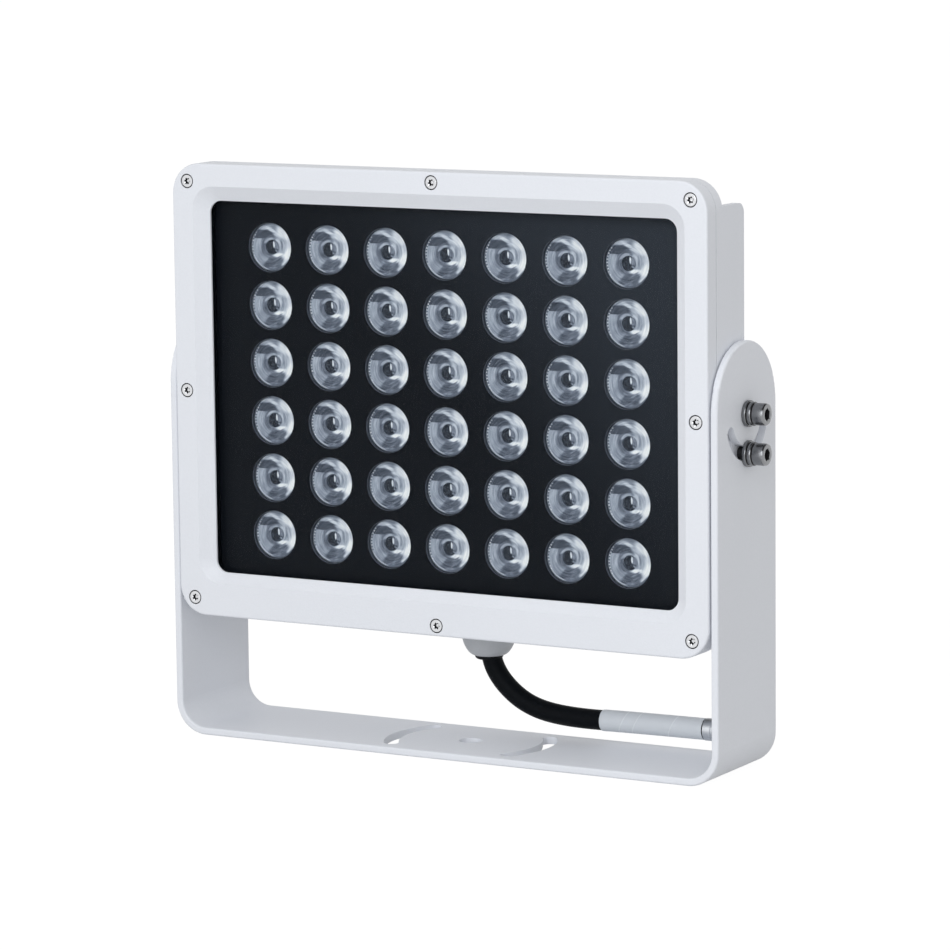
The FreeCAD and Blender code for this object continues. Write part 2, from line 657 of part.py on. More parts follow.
def driver_box():
    outer = rounded_block(BOX_HALF_WIDTH, BOX_HALF_HEIGHT, BOX_CORNER, BASE_BACK - MERGE, BOX_BACK, BOX_Z)
    inner = rounded_block(BOX_HALF_WIDTH - BOX_WALL, BOX_HALF_HEIGHT - BOX_WALL, BOX_CORNER - BOX_WALL,
                          BASE_BACK, BOX_BACK + OVERRUN, BOX_Z)
    walls = outer.cut(inner)
    posts = [rod(2 * BOX_POST, (x, BASE_BACK - MERGE, z), (x, BOX_BACK, z)) for x, z in box_post_places()]
    boss = rod(GLAND_BOSS, (0, GLAND_Y, BOSS_BOTTOM), (0, GLAND_Y, BOX_BOTTOM + BOX_WALL))
    return [walls, boss] + posts


def driver_post_places():
    x = DRIVER_HALF_WIDTH - DRIVER_SCREW_INSET
    low, high = DRIVER_BOTTOM + DRIVER_SCREW_INSET, DRIVER_TOP - DRIVER_SCREW_INSET
    return [(i * x, z) for i in (-1, 1) for z in (low, high)]


def bolt_places():
    """(side, height) of the four clamping bolts: two pivots and two locks."""
    return [(sign, z) for sign in (-1, 1) for z in (PIVOT_HEIGHT, LOCK_Z)]


def bolt_holes():
    depth = BOLT_HEAD_X - BOLT_LENGTH - DRILL_END
    return [rod(BOLT + 2 * THREAD_PLAY, (sign * depth, 0, z), (sign * ARM_INNER, 0, z))
            for sign, z in bolt_places()]


def rear_housing():
    """Die-cast body: flange, tub for the optics, base plate, fins, side pads and driver compartment."""
    flange = rounded_block(HEAD_HALF_WIDTH, HEAD_HALF_HEIGHT, HEAD_CORNER,
                           FLANGE_FRONT, FLANGE_BACK, HEAD_Z)
    tub = rounded_block(TUB_HALF_WIDTH, TUB_HALF_HEIGHT, WINDOW_CORNER + TUB_WALL,
                        FLANGE_BACK - OVERRUN, BASE_BACK, WINDOW_Z)
    driver_posts = [rod(POST, (x, BASE_BACK - MERGE, z), (x, DRIVER_BACK, z))
                    for x, z in driver_post_places()]
    body = flange.fuse([tub] + fins() + end_fins() + side_pads() + driver_box() + driver_posts)
    cuts = [
        rounded_block(GLASS_HALF_WIDTH + GLASS_FIT, GLASS_HALF_HEIGHT + GLASS_FIT, WINDOW_CORNER,
                      FLANGE_FRONT - OVERRUN, SEAT_FLOOR, WINDOW_Z),
        rounded_block(WINDOW_HALF_WIDTH + LEDGE, WINDOW_HALF_HEIGHT + LEDGE, WINDOW_CORNER,
                      SEAT_FLOOR - OVERRUN, PANEL_BACK, WINDOW_Z),
        rounded_block(WINDOW_HALF_WIDTH, WINDOW_HALF_HEIGHT, WINDOW_CORNER,
                      PANEL_BACK - OVERRUN, BASE_FRONT, WINDOW_Z),
        seal_ring(SEAL_FIT, BEZEL_BACK + SEAL_SIDE),
        rod(GLAND_THREAD + 2 * THREAD_PLAY, (0, GLAND_Y, BOSS_BOTTOM - OVERRUN),
            (0, GLAND_Y, BOX_BOTTOM + BOX_WALL + OVERRUN)),
        rod(GROMMET_HOLE, (0, BASE_FRONT - OVERRUN, BOX_Z), (0, BASE_BACK + OVERRUN, BOX_Z)),
    ]
    tips = [(bezel_screw_places(), FLANGE_FRONT, BEZEL_FRONT + SCREW_RECESS_DEPTH + BEZEL_SCREW_LENGTH, 1),
            (board_screw_places(), BASE_FRONT, BOARD_FRONT + BOARD_SCREW_LENGTH, 1),
            (box_post_places(), BOX_BACK, COVER_BACK - COVER_SCREW_LENGTH, -1),
            (driver_post_places(), DRIVER_BACK, DRIVER_FACE - BOARD_SCREW_LENGTH, -1)]
    for places, mouth, tip, way in tips:
        start, end = mouth - way * OVERRUN, tip + way * DRILL_END
        cuts += [rod(SCREW + 2 * THREAD_PLAY, (x, start, z), (x, end, z)) for x, z in places]
    return body.cut(cuts + bolt_holes())


def cover_outline(front, back):
    return rounded_block(BOX_HALF_WIDTH, BOX_HALF_HEIGHT, BOX_CORNER, front, back, BOX_Z)


def cover_seal():
    """Flat gasket on the rim of the compartment, widened round the screw posts."""
    inner = rounded_block(BOX_HALF_WIDTH - BOX_WALL, BOX_HALF_HEIGHT - BOX_WALL, BOX_CORNER - BOX_WALL,
                          BOX_BACK - OVERRUN, COVER_FRONT + OVERRUN, BOX_Z)
    rim = cover_outline(BOX_BACK, COVER_FRONT).cut(inner)
    posts = [rod(2 * BOX_POST, (x, BOX_BACK, z), (x, COVER_FRONT, z)) for x, z in box_post_places()]
    ring = rim.fuse(posts).common(cover_outline(BOX_BACK, COVER_FRONT))
    return ring.cut([rod(SCREW + 2 * SCREW_PLAY, (x, BOX_BACK - OVERRUN, z), (x, COVER_FRONT + OVERRUN, z))
                     for x, z in box_post_places()])


def driver_cover():
    body = cover_outline(COVER_FRONT, COVER_BACK)
    rear = [edge for edge in body.Edges if abs(edge.CenterOfMass.y - COVER_BACK) < NEAR]
    body = body.makeFillet(EDGE_RADIUS, rear)
    return body.cut([rod(SCREW + 2 * SCREW_PLAY, (x, COVER_FRONT - OVERRUN, z), (x, COVER_BACK + OVERRUN, z))
                     for x, z in box_post_places()])


def cover_screws():
    return group([small_screw(x, COVER_BACK, z, COVER_SCREW_LENGTH, (0, 1, 0)) for x, z in box_post_places()])


def driver_board():
    body = block(-DRIVER_HALF_WIDTH, DRIVER_HALF_WIDTH, DRIVER_BACK, DRIVER_FACE, DRIVER_BOTTOM, DRIVER_TOP)
    front, back = DRIVER_BACK - OVERRUN, DRIVER_FACE + OVERRUN
    return body.cut([rod(SCREW + 2 * THREAD_PLAY, (x, front, z), (x, back, z))
                     for x, z in driver_post_places()])


def driver_screws():
    return group([small_screw(x, DRIVER_FACE, z, BOARD_SCREW_LENGTH, (0, 1, 0))
                  for x, z in driver_post_places()])


def driver_transformer():
    """Ferrite core with its winding block, next above the choke."""
    half = TRANSFORMER_HEIGHT / 2
    winding = block(-WINDING_WIDTH / 2, WINDING_WIDTH / 2, DRIVER_FACE, DRIVER_FACE + WINDING_DEPTH,
                    TRANSFORMER_Z - half - WINDING_PROUD, TRANSFORMER_Z + half + WINDING_PROUD)
    core = block(-TRANSFORMER_WIDTH / 2, TRANSFORMER_WIDTH / 2, DRIVER_FACE + TRANSFORMER_FEET,
                 DRIVER_FACE + TRANSFORMER_DEPTH, TRANSFORMER_Z - half, TRANSFORMER_Z + half)
    return core.fuse(winding)


def driver_capacitors():
    z = TRANSFORMER_Z + CAPACITOR_RISE
    return group([rod(CAPACITOR, (sign * CAPACITOR_SIDE, DRIVER_FACE, z),
                      (sign * CAPACITOR_SIDE, DRIVER_FACE + CAPACITOR_LENGTH, z)) for sign in (-1, 1)])


def driver_choke():
    """Ring core that lies flat on the board, above the terminal block."""
    z = CHOKE_Z
    back = DRIVER_FACE + CHOKE_DEPTH
    ring = rod(CHOKE, (0, DRIVER_FACE, z), (0, back, z))
    return ring.cut(rod(CHOKE_HOLE, (0, DRIVER_FACE - OVERRUN, z), (0, back + OVERRUN, z)))


def core_places():
    """Places of the three wires on their circle round the cable's centre."""
    angles = [math.radians(90 + 360 / CORES * i) for i in range(CORES)]
    return [(CORE_CIRCLE / 2 * math.cos(a), GLAND_Y + CORE_CIRCLE / 2 * math.sin(a)) for a in angles]


def terminal_block():
    """Where the cable's wires end, on the lower edge of the board."""
    return block(-TERMINAL_WIDTH / 2, TERMINAL_WIDTH / 2, DRIVER_FACE, DRIVER_FACE + TERMINAL_DEPTH,
                 DRIVER_BOTTOM, DRIVER_BOTTOM + TERMINAL_HEIGHT)


def cable_cores():
    bottom = CABLE_ROUTE[0][1]
    return group([rod(CORE, (x, y, bottom), (x, y, DRIVER_BOTTOM)) for x, y in core_places()])


def led_lead():
    """Two wires from the driver board through the base plate to the light board."""
    return group([rod(LEAD, (x, BASE_FRONT, BOX_Z), (x, DRIVER_BACK, BOX_Z))
                  for x in (-LEAD_SPACING / 2, LEAD_SPACING / 2)])


def lead_grommet():
    """Rubber ring in the base plate round the two wires."""
    bore = (LEAD_SPACING + LEAD) / 2 + LEAD_FIT
    neck = GROMMET_HOLE / 2 - GROMMET_FIT
    front, back = BASE_FRONT + GROMMET_FIT, BASE_BACK + GROMMET_LIP
    profile = [
        (bore, front), (neck, front), (neck, BASE_BACK),
        (GROMMET / 2, BASE_BACK), (GROMMET / 2, back), (bore, back),
    ]
    return turned(profile, (0, 0, BOX_Z), (0, 1, 0))


def shoulder_bolt(sign, z):
    """Cap-head bolt with a hexagon socket, screwed into a side pad."""
    rim = BOLT_HEAD / 2
    profile = [
        (0, -BOLT_LENGTH), (BOLT / 2, -BOLT_LENGTH), (BOLT / 2, 0), (rim, 0),
        (rim, BOLT_HEAD_HEIGHT - BOLT_EDGE), (rim - BOLT_EDGE, BOLT_HEAD_HEIGHT), (0, BOLT_HEAD_HEIGHT),
    ]
    body = turned(profile, (0, 0, 0), (0, 0, 1))
    socket = hexagon(BOLT_SOCKET, BOLT_SOCKET_DEPTH + OVERRUN)
    socket.translate(Vector(0, 0, BOLT_HEAD_HEIGHT - BOLT_SOCKET_DEPTH))
    return placed(body.cut(socket), (sign * BOLT_HEAD_X, 0, z), (sign, 0, 0))


def pivot_bolts():
    return group([shoulder_bolt(sign, PIVOT_HEIGHT) for sign in (-1, 1)])


def lock_bolts():
    return group([shoulder_bolt(sign, LOCK_Z) for sign in (-1, 1)])


def flat_washers():
    rings = []
    for sign, z in bolt_places():
        inner, outer = sign * (ARM_OUTER + WASHER_GAP), sign * SPRING_X
        ring = rod(WASHER, (inner, 0, z), (outer, 0, z))
        rings.append(ring.cut(rod(WASHER_HOLE, (inner - sign, 0, z), (outer + sign, 0, z))))
    return group(rings)


def spring_washers():
    """Split rings, each open by a narrow slanting gap at its back."""
    rings = []
    for sign, z in bolt_places():
        inner, outer = sign * SPRING_X, sign * BOLT_HEAD_X
        middle = (inner + outer) / 2
        ring = rod(SPRING_WASHER, (inner, 0, z), (outer, 0, z))
        hole = rod(SPRING_WASHER_HOLE, (inner - sign, 0, z), (outer + sign, 0, z))
        gap = block(middle - SPRING_WASHER, middle + SPRING_WASHER, 0, SPRING_WASHER,
                    z - SPRING_WASHER_SPLIT / 2, z + SPRING_WASHER_SPLIT / 2)
        gap.rotate(Vector(middle, 0, z), Vector(0, 1, 0), SPRING_WASHER_SLANT)
        rings.append(ring.cut([hole, gap]))
    return group(rings)


def gland_body():
    """Threaded nipple in the boss, a hexagon below it and a hollow spigot for the nut."""
    top = BOX_BOTTOM + BOX_WALL
    bore = BUSH / 2 + GLAND_FIT / 2
    thread = rod(GLAND_THREAD, (0, GLAND_Y, BOSS_BOTTOM), (0, GLAND_Y, top))
    hexa = placed(hexagon(GLAND_HEX, GLAND_HEX_LENGTH), (0, GLAND_Y, SPIGOT_TOP), (0, 0, 1))
    spigot = rod(GLAND_SPIGOT, (0, GLAND_Y, SPIGOT_BOTTOM), (0, GLAND_Y, SPIGOT_TOP))
    body = thread.fuse([hexa, spigot])
    return body.cut([
        rod(2 * bore, (0, GLAND_Y, SPIGOT_BOTTOM - OVERRUN), (0, GLAND_Y, BUSH_TOP)),
        rod(CABLE + 2 * GLAND_BORE_PLAY, (0, GLAND_Y, BUSH_TOP - OVERRUN), (0, GLAND_Y, top + OVERRUN)),
    ])


def gland_nut():
    """Domed cap nut; its round end leaves a mouth for the rubber bush."""
    outer = GLAND_NUT / 2
    mouth = GLAND_MOUTH / 2
    bore = GLAND_SPIGOT / 2 + GLAND_FIT / 2
    ceiling = SPIGOT_BOTTOM - GLAND_FIT
    bulge = Vector(mouth + (outer - mouth) * DOME_BULGE_OUT, 0, NUT_BOTTOM + GLAND_DOME * DOME_BULGE_UP)
    edges = [
        Part.makeLine(Vector(bore, 0, NUT_TOP), Vector(outer, 0, NUT_TOP)),
        Part.makeLine(Vector(outer, 0, NUT_TOP), Vector(outer, 0, NUT_SHOULDER)),
        Part.Arc(Vector(outer, 0, NUT_SHOULDER), bulge, Vector(mouth, 0, NUT_BOTTOM)).toShape(),
        Part.makeLine(Vector(mouth, 0, NUT_BOTTOM), Vector(mouth, 0, ceiling)),
        Part.makeLine(Vector(mouth, 0, ceiling), Vector(bore, 0, ceiling)),
        Part.makeLine(Vector(bore, 0, ceiling), Vector(bore, 0, NUT_TOP)),
    ]
    solid = Part.Face(Part.Wire(edges)).revolve(Vector(0, 0, 0), Vector(0, 0, 1), 360)
    solid.translate(Vector(0, GLAND_Y, 0))
    return solid


def gland_bush():
    """Rubber sleeve squeezed round the cable: a rounded lip and a flared mouth at its lower end."""
    bore = CABLE / 2 + CABLE_FIT
    lip = BUSH_LIP / 2
    bulge = Vector(lip + (BUSH / 2 - lip) * BUSH_BULGE_OUT, 0, NUT_BOTTOM - BUSH_PROUD * BUSH_BULGE_DOWN)
    lower, upper = Vector(lip, 0, BUSH_BOTTOM), Vector(BUSH / 2, 0, NUT_BOTTOM)
    inside = [
        lower, Vector(bore + CABLE_MOUTH_FLARE, 0, BUSH_BOTTOM),
        Vector(bore, 0, BUSH_BOTTOM + 2 * BUSH_PROUD), Vector(bore, 0, BUSH_TOP),
        Vector(BUSH / 2, 0, BUSH_TOP), upper,
    ]
    edges = [Part.makeLine(start, end) for start, end in zip(inside, inside[1:])]
    edges.append(Part.Arc(upper, bulge, lower).toShape())
    solid = Part.Face(Part.Wire(edges)).revolve(Vector(0, 0, 0), Vector(0, 0, 1), 360)
    solid.translate(Vector(0, GLAND_Y, 0))
    return solid


def cable_path():
    """Centre line of the cable: straight runs joined by tangent arcs, in the plane of the gland."""
    points = [Vector(x, GLAND_Y, z) for x, z in CABLE_ROUTE]
    edges = []
    start = points[0]
    for before, here, after in zip(points, points[1:], points[2:]):
        back = (before - here).normalize()
        on = (after - here).normalize()
        half_turn = (math.pi - back.getAngle(on)) / 2
        shorter = min((before - here).Length, (after - here).Length)
        trim = BEND_SHARE * shorter
        radius = trim / math.tan(half_turn)
        middle_offset = radius / math.cos(half_turn) - radius
        middle = here + (back + on).normalize() * middle_offset
        arc_start, arc_end = here + back * trim, here + on * trim
        edges.append(Part.LineSegment(start, arc_start).toShape())
        edges.append(Part.Arc(arc_start, middle, arc_end).toShape())
        start = arc_end
    edges.append(Part.LineSegment(start, points[-1]).toShape())
    return Part.Wire(edges)


def tube_along(path, diameter):
    """Round tube swept along the whole cable path."""
    start = Vector(CABLE_ROUTE[0][0], GLAND_Y, CABLE_ROUTE[0][1])
    section = Part.Wire([Part.makeCircle(diameter / 2, start, Vector(0, 0, 1))])
    return path.makePipeShell([section], True, False)


def power_cable():
    path = cable_path()
    tube = tube_along(path, CABLE)
    share = tube.Volume / (path.Length * math.pi * CABLE ** 2 / 4)
    bends = [round(edge.Curve.Radius, 1) for edge in path.Edges if edge.Curve.TypeId == "Part::GeomCircle"]
    print("cable length", round(path.Length, 1), "volume share", round(share, 4), "bend radii", bends)
    return tube


def label_sleeve():
    """Thin sleeve shrunk over the cable's long stretch, following its slight bend."""
    path = cable_path()
    bore = CABLE + 2 * SLEEVE_FIT
    outer = bore + 2 * SLEEVE_WALL
    level = CABLE_ROUTE[-1][1]
    stretch = block(SLEEVE_START, SLEEVE_END, GLAND_Y - outer, GLAND_Y + outer, level - outer, level + outer)
    return tube_along(path, outer).common(stretch).cut(tube_along(path, bore))


def cable_connector():
    """Closed metal ferrule on the cable's end, in line with its last run."""
    before, end = [Vector(x, GLAND_Y, z) for x, z in CABLE_ROUTE[-2:]]
    way = (end - before).normalize()
    bore = CABLE / 2 + FERRULE_FIT
    outer = bore + FERRULE_WALL
    tip = FERRULE_LENGTH - FERRULE_OVERLAP
    profile = [
        (0, 0), (bore, 0), (bore, -FERRULE_OVERLAP), (outer, -FERRULE_OVERLAP),
        (outer, tip - FERRULE_EDGE), (outer - FERRULE_EDGE, tip), (0, tip),
    ]
    return turned(profile, end, way)


NODES = {
    "mounting_bracket": mounting_bracket,
    "front_bezel": front_bezel,
    "bezel_screws": bezel_screws,
    "window_gasket": window_gasket,
    "front_window": front_window,
    "housing_seal": housing_seal,
    "lens_panel": lens_panel,
    "led_board": led_board,
    "board_screws": board_screws,
    "rear_housing": rear_housing,
    "cover_seal": cover_seal,
    "driver_cover": driver_cover,
    "cover_screws": cover_screws,
    "driver_board": driver_board,
    "driver_screws": driver_screws,
    "driver_transformer": driver_transformer,
    "driver_capacitors": driver_capacitors,
    "driver_choke": driver_choke,
    "terminal_block": terminal_block,
    "cable_cores": cable_cores,
    "led_lead": led_lead,
    "lead_grommet": lead_grommet,
    "pivot_bolts": pivot_bolts,
    "lock_bolts": lock_bolts,
    "flat_washers": flat_washers,
    "spring_washers": spring_washers,
    "gland_body": gland_body,
    "gland_nut": gland_nut,
    "gland_bush": gland_bush,
    "power_cable": power_cable,
    "label_sleeve": label_sleeve,
    "cable_connector": cable_connector,
}


def write(name, shape):
    if not shape.isValid() or not shape.Solids:
        print("not a valid solid:", name)
    shape.exportStep("parts/" + name + ".step")


os.makedirs("parts", exist_ok=True)
for node, make in NODES.items():
    write(node, make())
for number in range(LENS_ROWS):
    write("lens_row_" + str(number + 1), lens_row(number))
    write("led_row_" + str(number + 1), led_row(number))
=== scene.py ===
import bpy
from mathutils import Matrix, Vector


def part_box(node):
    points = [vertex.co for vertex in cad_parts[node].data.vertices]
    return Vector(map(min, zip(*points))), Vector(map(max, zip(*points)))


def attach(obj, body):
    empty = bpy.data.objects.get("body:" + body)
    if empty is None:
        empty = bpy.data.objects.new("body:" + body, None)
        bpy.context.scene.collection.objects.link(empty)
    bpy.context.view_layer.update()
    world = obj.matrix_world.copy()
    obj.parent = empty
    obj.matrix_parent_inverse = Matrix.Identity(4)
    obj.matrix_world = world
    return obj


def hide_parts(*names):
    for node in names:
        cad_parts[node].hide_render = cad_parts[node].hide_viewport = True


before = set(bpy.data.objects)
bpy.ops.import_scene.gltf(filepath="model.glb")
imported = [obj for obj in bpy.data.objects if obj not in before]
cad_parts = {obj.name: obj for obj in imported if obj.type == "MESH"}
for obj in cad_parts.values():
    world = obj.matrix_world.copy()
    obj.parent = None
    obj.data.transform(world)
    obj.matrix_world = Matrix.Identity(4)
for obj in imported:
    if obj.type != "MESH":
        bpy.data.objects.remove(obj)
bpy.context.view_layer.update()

import math

import bpy
from mathutils import Matrix, Vector

# Units: metres in Blender, millimetres in the sizes below
MM = 0.001

# Camera at the photograph's viewing angle: degrees, millimetres
CAMERA_AZIMUTH = 29.332
CAMERA_ELEVATION = 8.480
CAMERA_ROLL = -0.623
CAMERA_DISTANCE = 2093.97
CAMERA_TARGET = (14.78, -19.5, 131.81)
CAMERA_LENS = 174.18
CAMERA_SENSOR = 36.0

# Light levels: ambient on matt surfaces, what mirrors and the camera see, and the key lamp
AMBIENT = 0.605
AMBIENT_RISE = 0.07
BACKGROUND = 1.0
CEILING = 0.07
CEILING_STARTS = 0.22
CEILING_FULL = 0.85
KEY_WATTS = 30.0
KEY_SIDE = 1.8
KEY_PLACE = (0.35, -2.40, 1.10)
KEY_COLOUR = (0.955, 0.975, 1.0)
FLOOR_SIDE = 40.0
FLOOR_GLOW = 0.97
FLOOR_MATT = 0.08
FLOOR_BOUNCE = 0.64

# Colours, linear red, green and blue
COAT = (0.81, 0.83, 0.875)
PANEL = (0.0040, 0.0056, 0.0088)
# Painted light on the black panel towards its upper right
PANEL_PAINTED_LIGHT = (0.028, 0.034, 0.045)
# Painted light on the walls of the panel's lens holes
PANEL_HOLE_PAINTED_LIGHT = (0.11, 0.125, 0.155)
RUBBER = (0.007, 0.008, 0.010)
GLAND = (0.54, 0.555, 0.575)
JACKET = (0.0034, 0.0044, 0.0058)
FILM = (0.60, 0.63, 0.665)
FILM_EDGE = (0.72, 0.75, 0.78)
SHELL = (0.60, 0.62, 0.65)
# One stainless steel in three copies: pale on the small screws as painted reflection, dark on the clamping
# bolts and washers as painted shade, plain elsewhere
SCREW_STEEL_PAINTED_REFLECTION = (0.70, 0.71, 0.73)
BOLT_STEEL_PAINTED_SHADE = (0.25, 0.255, 0.265)
PLAIN_STEEL = (0.42, 0.42, 0.43)
# Near-black steel for painted shade in recesses, under heads and at the edges between stacked parts
PAINTED_SHADE_STEEL = (0.02, 0.02, 0.022)
LIGHT_BOARD = (0.03, 0.035, 0.045)
DRIVER_BOARD = (0.03, 0.12, 0.07)
BOARD_PARTS = (0.04, 0.04, 0.045)
CAPACITOR_CAN = (0.05, 0.055, 0.09)
WIRE_JACKET = (0.20, 0.03, 0.025)
LIGHT_SOURCE = (0.70, 0.55, 0.33)

# Powder coat: share by which its tone varies, and how its painted light leans along X, lighter towards +X,
# per metre
COAT_SPREAD = 0.035
COAT_PAINTED_LIGHT_LEAN = 2.2

# Grain of moulded and of turned surfaces: waves and depth, per metre and in metres
MOULD_GRAIN = 1200.0
MOULD_DEPTH = 0.00003
STEEL_GRAIN = 900.0
STEEL_DEPTH = 0.00002

# Cable: its route from the gland to the metal end, gland axis at Y = CABLE_Y
CABLE_Y = 18.5
CABLE_ROUTE = [(0.0, 55.0), (0.0, 41.4), (6.4, 28.8), (21.0, 18.2), (42.0, 14.7), (78.0, 15.5), (114.0, 15.7)]
CABLE_DIAMETER = 9.4
SLEEVE_FROM = 60.2
SLEEVE_TO = 112.6
SLEEVE_DIAMETER = 10.0
SLEEVE_STEPS = 30
SLEEVE_WAVE = 0.02
FERRULE_GAP = 0.5
FERRULE_TO = 130.0
FERRULE_DIAMETER = 10.4
TUBE_SEGMENTS = 64

# The sleeve's wrap: where its slanting edges lie along X, and their lean
WRAP_EDGES = (64.8, 71.6, 90.0)
WRAP_SLANT = 0.45

# Cable gland: the nut's dome and the rubber lip below it
NUT_SWELL = 0.7
NUT_LIFT = 0.3
NUT_EDGE = 0.3
NUT_CYLINDER = 3.7
NUT_MOUTH = 7.1
NUT_BORE = 9.1
NUT_CEILING = 4.6
DOME_POWER = 1.2
DOME_STEPS = 12
BUSH_RADIUS = 6.75
BUSH_LIP = 5.3
BUSH_PROUD = 1.9
BUSH_INSIDE = 9.0
GLAND_SEGMENTS = 96

# Small screws, with their places about the middle of their node
SCREW_HEAD = 6.7
SCREW_SINK = 0.15
SCREW_HEAD_HEIGHT = 2.2
SCREW_SHANK = 3.0
STAR_OUTER = 1.58
STAR_DEPTH = 1.3
SCREW_SEGMENTS = 48
# Screw bands with painted shade: the drive's floor edge and walls, and the head's rounded edge, side and
# underside
SCREW_PAINTED_SHADE_BANDS = (1, 2, 3, 6, 7, 8, 9, 10)
BEZEL_SCREW_LENGTH = 10.0
BEZEL_SCREWS = [(x, z) for z in (-98.1, 98.1) for x in (-130.6, 130.6)]
BEZEL_SCREWS += [(-132.8, 0.0), (132.8, 0.0), (0.0, -101.5), (0.0, 101.5)]
BEZEL_SCREW_TURNS = (0.5, 1.3)
COVER_SCREW_LENGTH = 8.0
COVER_SCREWS = [(x, z) for x in (-54.75, 54.75) for z in (-69.75, 0.0, 69.75)]
COVER_SCREW_TURNS = (0.2, 0.9)

# Clamping bolts and their washers; a washer's bore is given as a radius
BOLT = 6.0
BOLT_LENGTH = 16.0
BOLT_HEAD = 10.0
BOLT_HEAD_HEIGHT = 6.0
BOLT_SOCKET = 5.0
BOLT_SOCKET_DEPTH = 3.0
BOLT_SEGMENTS = 240
# Bolt bands with painted shade: the socket's floor and walls, the head's lower edge and the shank
BOLT_PAINTED_SHADE_BANDS = (0, 1, 8, 9, 11, 12, 13)
BOLT_TURNS = (0.35, 0.5)
BOLT_KNURLS = 60
BOLT_KNURL_DEPTH = 0.05
FLAT_THICKNESS = 1.8
FLAT_BORE = 3.2
FLAT_EDGE = 0.25
FLAT_STEPS = 96
SPRING_PLAY = 0.02
SPRING_BORE = 3.15
SPRING_EDGE = 0.35
SPRING_GAP = 0.24
SPRING_RISE = 0.25
SPRING_SLANT = 0.10
SPRING_STEPS = 96
# Washer bands with painted shade: their rounded outer edges
WASHER_PAINTED_SHADE_BANDS = (2, 3, 6)
PIVOT_HEIGHT = 165.0
LOCK_RADIUS = 18.0

# Lenses: columns along X, rows along Z, seven to a row
LENS_ROWS = 6
LENS_COLUMNS = 7
PITCH_X = 31.0
PITCH_Z = 27.0
GRID_MARGIN = 2.0
HOLE_WALL = 11.45
LENS_MOUTH = 21.2
LENS_RIM = 1.0
LENS_FOOT = 10.4
LENS_DEPTH = 12.8
LENS_CURVE = 1.25
LENS_STEPS = 14
LENS_CAVITY = 7.0
LENS_CAVITY_DEPTH = 6.5
LENS_SINK = 0.3
LENS_LIP = 0.6
LENS_TEETH = 72
LENS_TOOTH = 0.12

# Rim of a lens's face: painted highlights of bright dots round it, where it starts and where its plain outer
# part of painted light starts
LENS_DOTS = 46
RIM_STARTS = (10.15, 10.3)
WALL_STARTS = (10.65, 10.8)
LENS_WALL_PAINTED_LIGHT = 0.42

# Painted reflections and highlights of a lens's face, as soft elliptical marks laid one over the other on a
# middle grey.
# Each has: brightness, centre across and up, half sizes, turn in degrees, softness, then any
# straight edges (part across, part up, place, width of the fade). Lengths in millimetres.
LENS_GREY = 0.49
LENS_TONES = [(0.0, (0.0, 0.0, 0.001)), (0.2, (0.022, 0.027, 0.038)), (0.35, (0.080, 0.096, 0.130)),
              (0.5, (0.190, 0.220, 0.282)), (0.65, (0.370, 0.415, 0.500)), (0.8, (0.640, 0.685, 0.765)),
              (1.0, (0.97, 0.985, 1.0))]
LENS_PAINTED_REFLECTIONS = [
    (0.55, 0.0, 9.6, 7.0, 2.6, -8, 0.6, []),
    (0.375, -0.3, -8.0, 6.0, 3.0, 16, 0.9, []),
    (0.64, -8.4, -0.6, 3.6, 7.0, 0, 0.5, [(0, -1, -3.9, 0.4), (-1, 0, 5.4, 1.0)]),
    (0.58, -5.9, -5.6, 4.6, 2.6, 62, 0.8, []),
    (0.60, -3.6, -5.2, 2.2, 1.2, 40, 1.0, []),
    (0.325, -4.8, 3.4, 7.4, 4.6, 0, 0.22, [(0, 1, 3.9, 0.5), (-1, 0.5, 1.2, 5.0)]),
    (0.415, -0.9, -0.2, 5.0, 4.9, 0, 0.45, [(-1, 0.6, -1.0, 4.0)]),
    (0.665, 6.0, 1.6, 4.6, 6.0, 0, 0.8, []),
    (0.70, -4.4, 9.0, 3.6, 0.9, 6, 1.0, []),
    (0.80, -0.4, 8.1, 3.0, 0.75, -22, 1.0, []),
    (0.73, 3.4, 5.9, 2.6, 0.9, -10, 1.0, []),
    (0.87, 5.8, 7.2, 3.6, 2.4, -40, 1.0, []),
    (0.94, 8.4, 5.0, 2.6, 1.3, -60, 1.0, []),
    (0.80, 9.3, 1.0, 1.6, 3.6, 0, 1.0, []),
    (0.97, 8.8, -3.9, 2.3, 4.2, -22, 0.9, []),
    (0.82, 6.9, -7.2, 2.6, 1.9, -60, 1.0, []),
    (0.42, 3.8, -6.4, 2.4, 1.5, 20, 0.9, []),
    (0.935, 3.6, -3.6, 3.0, 0.95, 4, 1.0, []),
    (0.53, -0.2, -9.9, 2.6, 0.8, 8, 1.0, []),
    (0.46, 0.9, -8.8, 2.4, 0.45, 38, 1.0, []),
    (0.48, 2.8, -5.2, 2.6, 0.4, 32, 1.0, []),
    (0.65, -0.3, 0.3, 4.4, 4.2, 0, 0.25, [(-0.35, 1, 3.0, 1.2), (-1, 0, -0.9, 1.6)]),
    (0.55, 5.2, 1.3, 0.7, 2.4, 4, 0.9, []),
    (0.74, 3.3, 1.4, 1.5, 2.5, 8, 0.5, []),
    (0.215, 0.1, 0.0, 3.4, 3.4, 0, 0.14, []),
    (0.49, 2.6, 0.6, 1.3, 2.4, 16, 0.35, []),
    (0.35, 2.6, -1.1, 0.7, 0.5, -20, 0.8, []),
    (0.52, 2.4, -1.7, 0.9, 0.4, -25, 0.9, []),
    (0.87, 1.05, 1.3, 0.45, 1.6, 3, 0.7, []),
]


def add(tree, kind, inputs=None, **settings):
    """New shader node; inputs holds values or sockets by input name or number."""
    node = tree.nodes.new("ShaderNode" + kind)
    for name, value in settings.items():
        setattr(node, name, value)
    for key, value in (inputs or {}).items():
        if isinstance(value, bpy.types.NodeSocket):
            tree.links.new(value, node.inputs[key])
        else:
            node.inputs[key].default_value = value
    return node


